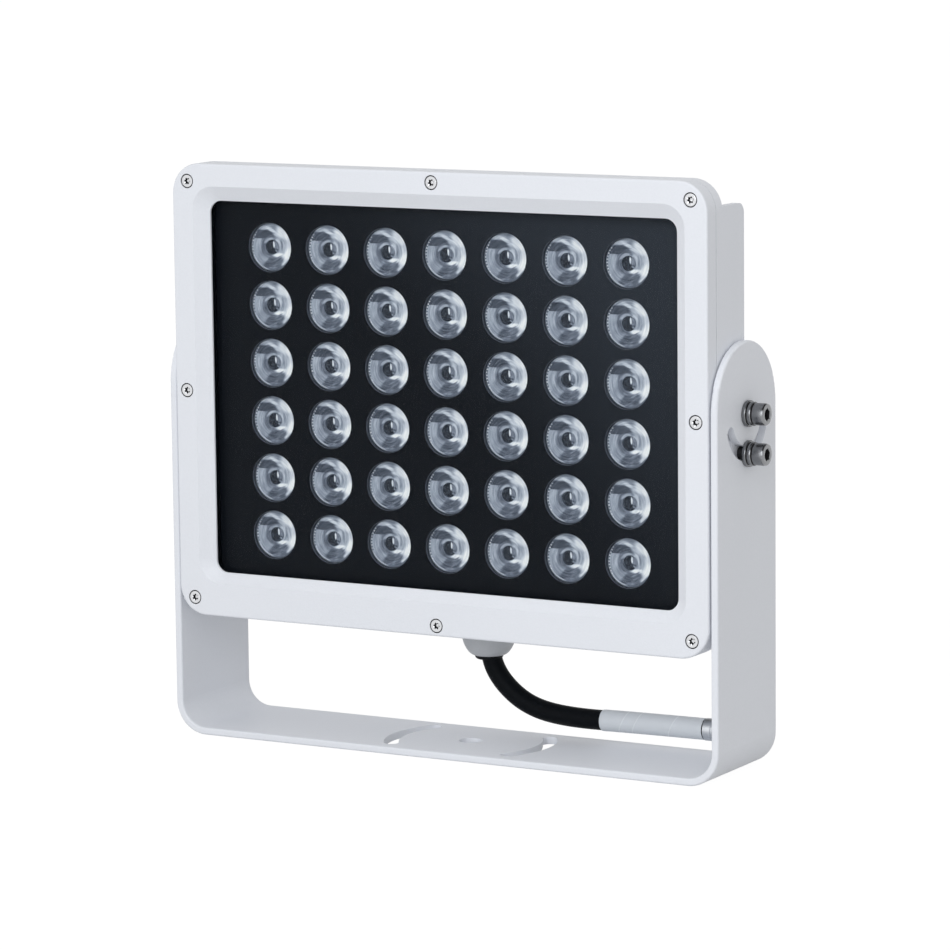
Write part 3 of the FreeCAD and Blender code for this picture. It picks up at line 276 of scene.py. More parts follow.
def calc(tree, operation, *values):
    """Result of a Math node."""
    return add(tree, "Math", dict(enumerate(values)), operation=operation).outputs[0]


def finish(name, colour, roughness, metallic=0.0, **inputs):
    """Material with one principled shader; returns the material, its tree and the shader."""
    material = bpy.data.materials.new(name)
    material.use_nodes = True
    tree = material.node_tree
    shader = tree.nodes["Principled BSDF"]
    shader.inputs["Base Color"].default_value = (*colour, 1.0)
    shader.inputs["Roughness"].default_value = roughness
    shader.inputs["Metallic"].default_value = metallic
    for key, value in inputs.items():
        shader.inputs[key.replace("_", " ")].default_value = value
    return material, tree, shader


def place(tree):
    """Object coordinates, in metres."""
    return add(tree, "TexCoord").outputs["Object"]


def grain(tree, scale, detail=2.0, stretch=(1, 1, 1)):
    """Noise value between 0 and 1 at a scale in waves per metre."""
    vector = add(tree, "Mapping", {"Vector": place(tree), "Scale": stretch}).outputs[0]
    return add(tree, "TexNoise", {"Vector": vector, "Scale": scale, "Detail": detail}).outputs[0]


def blend(tree, factor, low, high):
    """Colour between low and high; each is a colour or a socket."""
    sockets = {0: factor}
    for index, colour in ((6, low), (7, high)):
        sockets[index] = colour if isinstance(colour, bpy.types.NodeSocket) else (*colour, 1.0)
    return add(tree, "Mix", sockets, data_type="RGBA").outputs[2]


def tint(tree, shader, colour, factor, spread):
    """Base colour that varies about colour by plus or minus spread, as factor runs from 0 to 1."""
    low = [c * (1 - spread) for c in colour]
    high = [min(1.0, c * (1 + spread)) for c in colour]
    tree.links.new(blend(tree, factor, low, high), shader.inputs["Base Color"])


def fade(tree, value, start, end):
    """0 before start, 1 after end, smooth between them; end may be the smaller one."""
    return add(tree, "MapRange", {0: value, 1: start, 2: end}, interpolation_type="SMOOTHSTEP").outputs[0]


def distance(tree, vector):
    """Length of a vector."""
    return add(tree, "VectorMath", {0: vector}, operation="LENGTH").outputs["Value"]


def reach(tree, vector, across, up):
    """How far a vector goes in a direction."""
    node = add(tree, "VectorMath", {0: vector, 1: (across, up, 0.0)}, operation="DOT_PRODUCT")
    return node.outputs["Value"]


def lens_place(tree):
    """Millimetres across and up from the nearest lens's axis, and a number that differs from lens to lens."""
    axes = add(tree, "SeparateXYZ", {0: place(tree)}).outputs
    low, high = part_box("lens_row_1")
    top_row = (low.z + high.z) / 2 / MM
    across = calc(tree, "MULTIPLY", axes["X"], 1 / MM)
    above = calc(tree, "MULTIPLY_ADD", axes["Z"], 1 / MM, -top_row)
    near_across = calc(tree, "WRAP", across, PITCH_X / 2, -PITCH_X / 2)
    near_above = calc(tree, "WRAP", above, PITCH_Z / 2, -PITCH_Z / 2)
    column = calc(tree, "SUBTRACT", across, near_across)
    row = calc(tree, "SUBTRACT", above, near_above)
    row_number = calc(tree, "MULTIPLY", row, LENS_COLUMNS / PITCH_Z)
    number = calc(tree, "MULTIPLY_ADD", column, 1 / PITCH_X, row_number)
    return add(tree, "CombineXYZ", {0: near_across, 1: near_above}).outputs[0], number


def bump(tree, shader, height, depth):
    """Relief on the shader's normal, as deep as depth in metres."""
    node = add(tree, "Bump", {"Height": height, "Distance": depth, "Strength": 1.0})
    tree.links.new(node.outputs[0], shader.inputs["Normal"])


def powder_coat(name):
    """Fine orange-peel coat: small bumps, faint speckle, broad unevenness and painted light that leans across
    X, lighter towards +X.
    """
    material, tree, shader = finish(name, COAT, 0.5, Specular_IOR_Level=0.4)
    peel = grain(tree, 1500.0, 3.0)
    speckle = grain(tree, 900.0, 2.0)
    broad = grain(tree, 14.0, 1.0)
    across = add(tree, "SeparateXYZ", {0: place(tree)}).outputs["X"]
    # Painted light: the coat's tone grows lighter towards +X, mixed with broad random unevenness
    uneven = calc(tree, "MULTIPLY_ADD", across, COAT_PAINTED_LIGHT_LEAN, calc(tree, "MULTIPLY", broad, 0.4))
    factor = calc(tree, "MULTIPLY_ADD", speckle, 0.6, uneven)
    tint(tree, shader, COAT, factor, COAT_SPREAD)
    bump(tree, shader, peel, 0.00006)
    return material


def moulded(name, colour, roughness, spread=0.12, **inputs):
    """Moulded plastic or rubber: fine grain with slight colour variation."""
    material, tree, shader = finish(name, colour, roughness, **inputs)
    fine = grain(tree, MOULD_GRAIN, 3.0)
    tint(tree, shader, colour, fine, spread)
    bump(tree, shader, fine, MOULD_DEPTH)
    return material


def sleeve_film():
    """Thin pale film round the cable, with the slanting edges of its wrap."""
    material, tree, shader = finish("sleeve_film", FILM, 0.5)
    axes = add(tree, "SeparateXYZ", {0: place(tree)}).outputs
    slant = calc(tree, "MULTIPLY_ADD", axes["Z"], -WRAP_SLANT, axes["X"])
    edge = 0.0
    for where in WRAP_EDGES:
        off = calc(tree, "ABSOLUTE", calc(tree, "SUBTRACT", slant, where * MM))
        edge = calc(tree, "MAXIMUM", edge, fade(tree, off, 0.45 * MM, 0.1 * MM))
    fine = grain(tree, 300.0, 3.0)
    tone = calc(tree, "MULTIPLY_ADD", edge, 0.8, calc(tree, "MULTIPLY", fine, 0.35))
    tree.links.new(blend(tree, tone, FILM, FILM_EDGE), shader.inputs["Base Color"])
    bump(tree, shader, edge, 0.00008)
    return material


def black_panel():
    """Satin black plate with painted light: lighter towards its upper right, and lighter walls in the lens
    holes.
    """
    material, tree, shader = finish("black_panel", PANEL, 0.45, Specular_IOR_Level=0.06)
    axes = add(tree, "SeparateXYZ", {0: place(tree)}).outputs
    # Painted light that grows towards the upper right of the plate
    rise = calc(tree, "ADD", axes["Z"], axes["X"])
    face = blend(tree, fade(tree, rise, 0.15, 0.36), PANEL, PANEL_PAINTED_LIGHT)
    radius = distance(tree, lens_place(tree)[0])
    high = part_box("lens_row_1")[1]
    middle = (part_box("lens_row_%d" % LENS_ROWS)[0].z + high.z) / 2
    off_middle = calc(tree, "ABSOLUTE", calc(tree, "SUBTRACT", axes["Z"], middle))
    within_columns = calc(tree, "LESS_THAN", calc(tree, "ABSOLUTE", axes["X"]), high.x + GRID_MARGIN * MM)
    within_rows = calc(tree, "LESS_THAN", off_middle, high.z - middle + GRID_MARGIN * MM)
    # Painted light on the walls of the lens holes, within the grid of lenses
    wall = calc(tree, "MULTIPLY", fade(tree, radius, HOLE_WALL + 0.1, HOLE_WALL),
                calc(tree, "MULTIPLY", within_columns, within_rows))
    tree.links.new(blend(tree, wall, face, PANEL_HOLE_PAINTED_LIGHT), shader.inputs["Base Color"])
    bump(tree, shader, grain(tree, 900.0), 0.000006)
    return material


def steel(name, colour, roughness, stretch=(1, 1, 1)):
    """Turned metal: fine lines across the stretch, with small changes of gloss."""
    material, tree, shader = finish(name, colour, roughness, 1.0)
    lines = grain(tree, STEEL_GRAIN, 4.0, stretch)
    spots = grain(tree, 400.0, 3.0)
    tint(tree, shader, colour, spots, 0.18)
    rough = add(tree, "MapRange", {0: lines, 3: roughness * 0.75, 4: roughness * 1.3}).outputs[0]
    tree.links.new(rough, shader.inputs["Roughness"])
    bump(tree, shader, lines, STEEL_DEPTH)
    return material


def window_glass():
    """Clear pane with a coated, faintly reflecting surface."""
    material = bpy.data.materials.new("window_glass")
    material.use_nodes = True
    tree = material.node_tree
    tree.nodes.clear()
    fresnel = add(tree, "Fresnel", {"IOR": 1.08}).outputs[0]
    clear = add(tree, "BsdfTransparent", {"Color": (0.985, 0.992, 0.99, 1.0)}).outputs[0]
    gloss = add(tree, "BsdfGlossy", {"Color": (1, 1, 1, 1), "Roughness": 0.02}).outputs[0]
    mix = add(tree, "MixShader", {0: fresnel, 1: clear, 2: gloss}).outputs[0]
    add(tree, "OutputMaterial", {"Surface": mix})
    return material


def lens_painted_reflections(tree, spot):
    """Brightness of a lens's face from the soft marks of painted reflection, shade and highlight laid one
    over the other.
    """
    value = LENS_GREY
    for level, across, up, half_width, half_height, turn, soft, edges in LENS_PAINTED_REFLECTIONS:
        local = add(tree, "Mapping", {"Vector": spot, "Location": (across, up, 0.0),
                                      "Rotation": (0.0, 0.0, math.radians(turn)),
                                      "Scale": (half_width, half_height, 1.0)}, vector_type="TEXTURE")
        factor = fade(tree, distance(tree, local.outputs[0]), 1 + soft / 2, 1 - soft / 2)
        for part_across, part_up, where, width in edges:
            over = reach(tree, spot, part_across, part_up)
            factor = calc(tree, "MULTIPLY", factor, fade(tree, over, where - width / 2, where + width / 2))
        value = add(tree, "Mix", {0: factor, 2: value, 3: level}).outputs[0]
    return value


def lens_rim(tree, spot, radius, angle, rings, value):
    """Lays the rim's painted highlights over a brightness: uneven bright dots at the left, a bright line
    below, and a plain outer part of painted light on the left and lower side.
    """
    twinkle = add(tree, "TexNoise", {"Vector": rings, "Scale": 5.0, "Detail": 1.0}).outputs[0]
    dot = fade(tree, calc(tree, "COSINE", calc(tree, "MULTIPLY", angle, LENS_DOTS)), 0.0, 0.7)
    dot = calc(tree, "MULTIPLY", dot, fade(tree, twinkle, 0.30, 0.55))
    left = fade(tree, reach(tree, spot, -1.0, 0.0), 6.5, 8.5)
    low_left = fade(tree, reach(tree, spot, -0.62, -0.78), 8.6, 9.8)
    low = fade(tree, reach(tree, spot, 0.0, 1.0), -4.0, -7.5)
    near_side = calc(tree, "MAXIMUM", left, low)
    # Painted highlights on the rim at the left and below
    rim = calc(tree, "MULTIPLY", fade(tree, radius, *RIM_STARTS), near_side)
    sparkle = calc(tree, "MULTIPLY_ADD", calc(tree, "MAXIMUM", calc(tree, "MULTIPLY", dot, left),
                                              calc(tree, "MULTIPLY", low_left, 0.55)), 0.55, 0.45)
    value = add(tree, "Mix", {0: rim, 2: value, 3: sparkle}).outputs[0]
    # Painted light on the plain outer part at the left and below
    wall = calc(tree, "MULTIPLY", fade(tree, radius, *WALL_STARTS), near_side)
    return add(tree, "Mix", {0: wall, 2: value, 3: LENS_WALL_PAINTED_LIGHT}).outputs[0]


def lens_tones(tree, value):
    """Colour for a brightness between 0 and 1."""
    ramp = add(tree, "ValToRGB", {0: value})
    stops = ramp.color_ramp.elements
    for stop, (position, colour) in zip((stops[0], stops[1]), (LENS_TONES[0], LENS_TONES[-1])):
        stop.position = position
        stop.color = (*colour, 1.0)
    for position, colour in LENS_TONES[1:-1]:
        stops.new(position).color = (*colour, 1.0)
    return ramp.outputs[0]


def lens_face():
    """Clear lens with its reflections painted into its colour: painted reflections and highlights, round
    streaks of painted reflection and a dotted bright rim.
    """
    material, tree, shader = finish("lens_plastic", (0.3, 0.33, 0.37), 0.25, Specular_IOR_Level=0.12)
    spot, number = lens_place(tree)
    axes = add(tree, "SeparateXYZ", {0: spot}).outputs
    radius = distance(tree, spot)
    angle = calc(tree, "ARCTAN2", axes["Y"], axes["X"])
    rings = add(tree, "CombineXYZ", {0: calc(tree, "MULTIPLY", radius, 1.2), 1: calc(tree, "COSINE", angle),
                                     2: calc(tree, "ADD", number, calc(tree, "SINE", angle))}).outputs[0]
    # Round streaks of painted reflection
    streak = add(tree, "TexNoise", {"Vector": rings, "Scale": 1.3, "Detail": 3.0}).outputs[0]
    value = calc(tree, "ADD", lens_painted_reflections(tree, spot), calc(tree, "MULTIPLY_ADD", streak, 0.42, -0.20))
    value = lens_rim(tree, spot, radius, angle, rings, value)
    tree.links.new(lens_tones(tree, value), shader.inputs["Base Color"])
    return material


def circle(radius):
    """Outline of a circle: its radius at every angle."""
    return lambda angle: radius


def hexagon(across_flats):
    """Distance from the centre to the side of a hexagon, by angle."""
    sector = math.pi / 3
    return lambda angle: across_flats / 2 / math.cos((angle + sector / 2) % sector - sector / 2)


def star(outer, inner):
    """Distance from the centre to the edge of a six-lobed drive, by angle."""
    middle, swing = (outer + inner) / 2, (outer - inner) / 2
    return lambda angle: middle + swing * math.cos(6 * angle)


def knurl(radius, depth, count):
    """Outline of a circle with rounded grooves, by angle."""
    return lambda angle: radius - depth * (0.5 - 0.5 * math.cos(count * angle))


def loft(rings, segments):
    """Vertices and faces through rings of (outline, height) about Z; an outline of 0 closes the form."""
    vertices, faces, previous = [], [], None
    for outline, height in rings:
        if outline == 0:
            vertices.append((0, 0, height))
            current = [len(vertices) - 1] * segments
        else:
            current = []
            for index in range(segments):
                angle = 2 * math.pi * index / segments
                radius = outline(angle)
                vertices.append((radius * math.cos(angle), radius * math.sin(angle), height))
                current.append(len(vertices) - 1)
        if previous:
            for index in range(segments):
                after = (index + 1) % segments
                corners = [previous[index], previous[after], current[after], current[index]]
                unique = list(dict.fromkeys(corners))
                if len(unique) > 2:
                    faces.append(unique)
        previous = current
    return vertices, faces


def aim(place_mm, direction):
    """Matrix that puts a form made along +Z at a place, turned to a direction."""
    turn = Vector((0, 0, 1)).rotation_difference(Vector(direction)).to_matrix().to_4x4()
    return Matrix.Translation(Vector(place_mm) * MM) @ turn @ Matrix.Scale(MM, 4)


def piece(name, parts, material, body, smooth_angle=35.0, painted_shade=None, segments=1, bands=()):
    """One object from several (vertices, faces, matrix) parts; some bands between rings may take a second
    material of painted shade.
    """
    vertices, faces, marks = [], [], []
    for part_vertices, part_faces, matrix in parts:
        first = len(vertices)
        vertices += [matrix @ Vector(v) for v in part_vertices]
        faces += [[first + index for index in face] for face in part_faces]
        marks += [1 if index // segments in bands else 0 for index in range(len(part_faces))]
    mesh = bpy.data.meshes.new(name)
    mesh.from_pydata(vertices, [], faces)
    mesh.materials.append(material)
    if painted_shade:
        mesh.materials.append(painted_shade)
        mesh.polygons.foreach_set("material_index", marks)
    mesh.shade_smooth()
    mesh.set_sharp_from_angle(angle=math.radians(smooth_angle))
    obj = bpy.data.objects.new(name, mesh)
    bpy.context.scene.collection.objects.link(obj)
    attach(obj, body)
    return obj


def small_screw(length):
    """Round-head screw with a six-lobed drive, its seat at the origin and its head upwards."""
    rim, top = SCREW_HEAD / 2, SCREW_HEAD_HEIGHT
    drive = star(STAR_OUTER, STAR_OUTER * 0.72)
    return loft([
        (0, top - STAR_DEPTH - 0.25), (star(STAR_OUTER * 0.55, STAR_OUTER * 0.4), top - STAR_DEPTH),
        (star(STAR_OUTER * 0.93, STAR_OUTER * 0.66), top - STAR_DEPTH), (drive, top - STAR_DEPTH + 0.15),
        (drive, top - 0.12), (star(STAR_OUTER + 0.12, STAR_OUTER * 0.78 + 0.1), top),
        (circle(rim - 0.52), top), (circle(rim - 0.24), top - 0.08), (circle(rim - 0.08), top - 0.25),
        (circle(rim), top - 0.6), (circle(rim), 0.25), (circle(rim - 0.12), 0.0),
        (circle(SCREW_SHANK / 2), 0.0), (circle(SCREW_SHANK / 2), 0.6 - length),
        (circle(SCREW_SHANK / 2 - 0.5), -length), (0, -length),
    ], SCREW_SEGMENTS)


def screw_set(name, places, seat, outward, length, turns, material, painted_shade):
    """One node's screws; turns holds the first drive's angle and the step from one to the next."""
    low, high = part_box(name)
    middle = (low.z + high.z) / 2 / MM
    form = small_screw(length)
    parts = []
    for index, (x, z) in enumerate(places):
        turn = Matrix.Rotation(turns[0] + turns[1] * index, 4, "Z")
        parts.append((*form, aim((x, seat, middle + z), (0, outward, 0)) @ turn))
    obj = piece(name + "_detailed", parts, material, "head",
                painted_shade=painted_shade, segments=SCREW_SEGMENTS, bands=SCREW_PAINTED_SHADE_BANDS)
    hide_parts(name)


def make_small_screws(material, painted_shade):
    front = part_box("front_bezel")[0].y / MM + SCREW_SINK + SCREW_HEAD_HEIGHT
    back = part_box("cover_screws")[1].y / MM - SCREW_HEAD_HEIGHT
    screw_set("bezel_screws", BEZEL_SCREWS, front, -1, BEZEL_SCREW_LENGTH, BEZEL_SCREW_TURNS, material, painted_shade)
    screw_set("cover_screws", COVER_SCREWS, back, 1, COVER_SCREW_LENGTH, COVER_SCREW_TURNS, material, painted_shade)


def clamping_bolt():
    """Socket cap bolt, its head's seat at the origin: knurled side, chamfered face, hexagon socket."""
    rim, top = BOLT_HEAD / 2, BOLT_HEAD_HEIGHT
    floor = top - BOLT_SOCKET_DEPTH
    side = knurl(rim, BOLT_KNURL_DEPTH, BOLT_KNURLS)
    return loft([
        (0, floor - 0.5), (hexagon(BOLT_SOCKET), floor), (hexagon(BOLT_SOCKET), top - 0.25),
        (circle(BOLT_SOCKET / 2 * 1.19), top), (circle(rim - 0.75), top), (circle(rim - 0.35), top - 0.12),
        (circle(rim - 0.08), top - 0.55), (side, top - 0.8), (side, 0.55), (circle(rim - 0.1), 0.3),
        (circle(rim - 0.3), 0.0), (circle(BOLT / 2), 0.0), (circle(BOLT / 2), 0.8 - BOLT_LENGTH),
        (circle(BOLT / 2 - 0.6), -BOLT_LENGTH), (0, -BOLT_LENGTH),
    ], BOLT_SEGMENTS)


def ring_section(outer, hole, thickness, edge):
    """Section of a ring from height 0, with small rounded edges, as (radius, height) points."""
    return [(hole, edge), (hole + edge, 0.0), (outer - edge, 0.0), (outer - edge * 0.3, edge * 0.3),
            (outer, edge), (outer, thickness - edge), (outer - edge * 0.3, thickness - edge * 0.3),
            (outer - edge, thickness), (hole + edge, thickness), (hole, thickness - edge)]


def split_ring(outer, hole, thickness, edge, gap, rise):
    """Spring washer: a ring with rounded edges, cut through and sprung open by a little rise."""
    section = ring_section(outer, hole, thickness, edge)
    steps, count = SPRING_STEPS, len(section)
    vertices, faces = [], []
    for step in range(steps + 1):
        share = step / steps
        for radius, height in section:
            slant = gap / 2 + SPRING_SLANT * (height / thickness - 0.5)
            angle = slant + (2 * math.pi - gap) * share
            lift = rise * (share - 0.5) * (height / thickness)
            vertices.append((radius * math.cos(angle), radius * math.sin(angle), height + lift))
    for index in range(count):
        for step in range(steps):
            after = (index + 1) % count
            near, far = step * count, (step + 1) * count
            faces.append([near + index, near + after, far + after, far + index])
    faces.append(list(range(count)))
    faces.append([steps * count + index for index in reversed(range(count))])
    return vertices, faces


def make_clamps(material, painted_shade):
    """Bolts and washers at the pivots and in the curved slots, on both arms."""
    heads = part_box("pivot_bolts")[1].x / MM - BOLT_HEAD_HEIGHT
    washer_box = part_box("flat_washers")
    spring_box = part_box("spring_washers")
    washer = (washer_box[1].z - washer_box[0].z) / MM / 2 - LOCK_RADIUS / 2
    spring = (spring_box[1].z - spring_box[0].z) / MM / 2 - LOCK_RADIUS / 2
    spring_seat = washer_box[1].x / MM
    spring_height = heads - spring_seat
    for name, z in (("pivot_bolts", PIVOT_HEIGHT), ("lock_bolts", PIVOT_HEIGHT - LOCK_RADIUS)):
        bolts = []
        for number, side in enumerate((-1, 1)):
            turn = Matrix.Rotation(BOLT_TURNS[0] + BOLT_TURNS[1] * number + z, 4, "Z")
            bolts.append((*clamping_bolt(), aim((side * heads, 0, z), (side, 0, 0)) @ turn))
        obj = piece(name + "_detailed", bolts, material, "head", 30.0,
                    painted_shade, BOLT_SEGMENTS, BOLT_PAINTED_SHADE_BANDS)
        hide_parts(name)
    section = ring_section(washer, FLAT_BORE, FLAT_THICKNESS, FLAT_EDGE)
    flat = loft([(circle(radius), height) for radius, height in section + section[:1]], FLAT_STEPS)
    ring = split_ring(spring, SPRING_BORE, spring_height - SPRING_PLAY, SPRING_EDGE, SPRING_GAP, SPRING_RISE)
    flats, springs = [], []
    for side in (-1, 1):
        for z in (PIVOT_HEIGHT, PIVOT_HEIGHT - LOCK_RADIUS):
            flats.append((*flat, aim((side * (spring_seat - FLAT_THICKNESS), 0, z), (side, 0, 0))))
            turn = Matrix.Rotation(math.pi / 2 + 0.25 * side, 4, "Z")
            springs.append((*ring, aim((side * spring_seat, 0, z), (side, 0, 0)) @ turn))
    obj = piece("flat_washers_detailed", flats, material, "head", 50.0,
                painted_shade, FLAT_STEPS, WASHER_PAINTED_SHADE_BANDS)
    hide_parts("flat_washers")
    obj = piece("spring_washers_detailed", springs, material, "head", 50.0,
                painted_shade, SPRING_STEPS, WASHER_PAINTED_SHADE_BANDS)
    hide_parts("spring_washers")


def lens_form():
    """Collimator: sunk face, toothed rim, curved reflecting side, foot and hollow."""
    mouth, foot, cavity = LENS_MOUTH / 2, LENS_FOOT / 2, LENS_CAVITY / 2
    teeth = knurl(mouth + LENS_LIP, LENS_TOOTH, LENS_TEETH)
    rings = [(0, LENS_SINK), (circle(mouth - 0.3), LENS_SINK), (circle(mouth - 0.2), 0.0), (teeth, 0.0),
             (teeth, LENS_RIM), (circle(mouth), LENS_RIM)]
    for step in range(1, LENS_STEPS + 1):
        share = step / LENS_STEPS
        depth = LENS_RIM + (LENS_DEPTH - LENS_RIM) * share
        radius = mouth + (foot - mouth) * share ** LENS_CURVE
        rings.append((circle(radius), depth))
    roof = LENS_DEPTH - LENS_CAVITY_DEPTH
    rings += [(circle(cavity), LENS_DEPTH), (circle(cavity), roof), (0, roof)]
    return loft(rings, 4 * LENS_TEETH)


def make_lenses(material):
    form = lens_form()
    for row in range(1, LENS_ROWS + 1):
        low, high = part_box("lens_row_%d" % row)
        front, z = low.y / MM, (low.z + high.z) / 2 / MM
        parts = []
        for column in range(LENS_COLUMNS):
            x = (column - (LENS_COLUMNS - 1) / 2) * PITCH_X
            parts.append((*form, aim((x, front, z), (0, 1, 0))))
        obj = piece("lenses_%d" % row, parts, material, "head", 30.0)
        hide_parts("lens_row_%d" % row)


def make_gland(plastic, rubber):
    """Domed nut, and the rubber lip squeezed out round the cable under it."""
    low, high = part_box("gland_nut")
    top, bottom, outer = high.z / MM, low.z / MM + NUT_LIFT, high.x / MM + NUT_SWELL
    matrix = Matrix.Translation(Vector((0, CABLE_Y, 0)) * MM) @ Matrix.Scale(MM, 4)
    turns = [math.pi / 2 * step / DOME_STEPS for step in range(DOME_STEPS + 1)]
    dome = top - NUT_CYLINDER - bottom
    rings = [(circle(NUT_BORE), top), (circle(outer - NUT_EDGE), top), (circle(outer), top - NUT_EDGE)]
    for turn in turns:
        radius = NUT_MOUTH + (outer - NUT_MOUTH) * abs(math.cos(turn)) ** DOME_POWER
        rings.append((circle(radius), bottom + dome * (1 - math.sin(turn) ** DOME_POWER)))
    rings += [(circle(NUT_MOUTH), bottom + NUT_CEILING), (circle(NUT_BORE), bottom + NUT_CEILING),
              (circle(NUT_BORE), top)]
    nut = piece("gland_nut_dome", [(*loft(rings, GLAND_SEGMENTS), matrix)], plastic, "head")
    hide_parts("gland_nut")
    bore, lip, upper = CABLE_DIAMETER / 2 + 0.05, bottom - BUSH_PROUD, bottom + BUSH_INSIDE
    rings = [(circle(bore), upper), (circle(bore), lip + 1.0), (circle(bore + 0.3), lip)]
    for turn in turns:
        rings.append((circle(BUSH_LIP + (BUSH_RADIUS - BUSH_LIP) * math.sin(turn)),
                      bottom - BUSH_PROUD * math.cos(turn)))
    rings += [(circle(BUSH_RADIUS), upper), (circle(bore), upper)]
    bush = piece("gland_bush_lip", [(*loft(rings, GLAND_SEGMENTS), matrix)], rubber, "head")
    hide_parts("gland_bush")


def cable_curve(material):
    """The cable as one NURBS line with a round bevel."""
    data = bpy.data.curves.new("cable_line", "CURVE")
    data.dimensions = "3D"
    spline = data.splines.new("NURBS")
    spline.points.add(len(CABLE_ROUTE) - 1)
    for point, (x, z) in zip(spline.points, CABLE_ROUTE):
        point.co = (x * MM, CABLE_Y * MM, z * MM, 1.0)
    spline.order_u = 3
    spline.use_endpoint_u = True
    data.resolution_u = 24
    line = bpy.data.objects.new("cable_line", data)
    bpy.context.scene.collection.objects.link(line)
    mesh = bpy.data.meshes.new_from_object(line)
    centre = [v.co.copy() / MM for v in mesh.vertices]
    bpy.data.meshes.remove(mesh)
    data.bevel_depth = CABLE_DIAMETER / 2 * MM
    data.bevel_resolution = 10
    data.use_fill_caps = True
    data.materials.append(material)
    line.name = "power_cable_line"
    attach(line, "head")
    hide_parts("power_cable")
    return line, centre


def along(centre, x):
    """Point of the cable's centre line at X, and the line's direction there."""
    for before, after in zip(centre, centre[1:]):
        if before.x <= x <= after.x and after.x > before.x:
            share = (x - before.x) / (after.x - before.x)
            return before.lerp(after, share), (after - before).normalized()
    direction = (centre[-1] - centre[-2]).normalized()
    return centre[-1] + direction * (x - centre[-1].x), direction


def tube_on(centre, sections):
    """Surface round the cable's line through (x, radius) sections."""
    vertices, faces, previous = [], [], None
    for x, radius in sections:
        middle, direction = along(centre, x)
        across = Vector((0, 1, 0))
        up = across.cross(direction)
        current = []
        for index in range(TUBE_SEGMENTS):
            angle = 2 * math.pi * index / TUBE_SEGMENTS
            vertices.append(middle + (across * math.cos(angle) + up * math.sin(angle)) * radius)
            current.append(len(vertices) - 1)
        if previous:
            for index in range(TUBE_SEGMENTS):
                after = (index + 1) % TUBE_SEGMENTS
                faces.append([previous[index], previous[after], current[after], current[index]])
        previous = current
    return vertices, faces


def make_cable(jacket, film, metal):
    line, centre = cable_curve(jacket)
    scale = Matrix.Scale(MM, 4)
    bare = CABLE_DIAMETER / 2
    outer = SLEEVE_DIAMETER / 2
    sections = [(SLEEVE_FROM, bare - 0.1), (SLEEVE_FROM, outer - 0.08), (SLEEVE_FROM + 0.3, outer)]
    for step in range(1, SLEEVE_STEPS):
        x = SLEEVE_FROM + (SLEEVE_TO - SLEEVE_FROM) * step / SLEEVE_STEPS
        sections.append((x, outer + SLEEVE_WAVE * math.sin(step * 1.7)))
    sections += [(SLEEVE_TO - 0.3, outer), (SLEEVE_TO, outer - 0.08), (SLEEVE_TO, bare - 0.1)]
    tube = (*tube_on(centre, sections), scale)
    sleeve = piece("label_sleeve_film", [tube], film, "head", 60.0)
    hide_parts("label_sleeve")
    shell = FERRULE_DIAMETER / 2
    start, tip = SLEEVE_TO + FERRULE_GAP, FERRULE_TO
    sections = [(start, bare - 0.1), (start, shell - 0.25), (start + 0.25, shell), (start + 4.0, shell),
                (start + 4.3, shell - 0.25), (start + 5.0, shell - 0.25), (start + 5.3, shell),
                (tip - 1.0, shell), (tip - 0.3, shell - 0.3), (tip, shell - 1.0), (tip, 0.01)]
    tube = (*tube_on(centre, sections), scale)
    ferrule = piece("connector_shell", [tube], metal, "head")
    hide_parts("cable_connector")


def dress(material, *nodes):
    """Gives CAD nodes their material."""
    for node in nodes:
        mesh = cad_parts[node].data
        mesh.materials.clear()
        mesh.materials.append(material)


def seen_sharply(tree):
    """1 for rays of the camera and those that gloss or glass sends on, 0 for the soft ones."""
    path = add(tree, "LightPath").outputs
    return calc(tree, "MAXIMUM", calc(tree, "MAXIMUM", path["Is Camera Ray"], path["Is Glossy Ray"]),
                path["Is Transmission Ray"])


def make_stage():
    mesh = bpy.data.meshes.new("floor")
    half = FLOOR_SIDE / 2
    corners = [(-half, -half, 0), (half, -half, 0), (half, half, 0), (-half, half, 0)]
    mesh.from_pydata(corners, [], [(0, 1, 2, 3)])
    floor = bpy.data.objects.new("floor", mesh)
    bpy.context.scene.collection.objects.link(floor)
    material = bpy.data.materials.new("floor")
    material.use_nodes = True
    tree = material.node_tree
    tree.nodes.clear()
    seen = seen_sharply(tree)
    glow = add(tree, "Emission", {"Color": (1, 1, 1, 1), "Strength": FLOOR_GLOW}).outputs[0]
    faint = add(tree, "BsdfDiffuse", {"Color": (FLOOR_MATT, FLOOR_MATT, FLOOR_MATT, 1)}).outputs[0]
    bright = add(tree, "AddShader", {0: glow, 1: faint}).outputs[0]
    matt = add(tree, "BsdfDiffuse", {"Color": (FLOOR_BOUNCE, FLOOR_BOUNCE, FLOOR_BOUNCE, 1)}).outputs[0]
    mix = add(tree, "MixShader", {0: seen, 1: matt, 2: bright}).outputs[0]
    add(tree, "OutputMaterial", {"Surface": mix})
    mesh.materials.append(material)


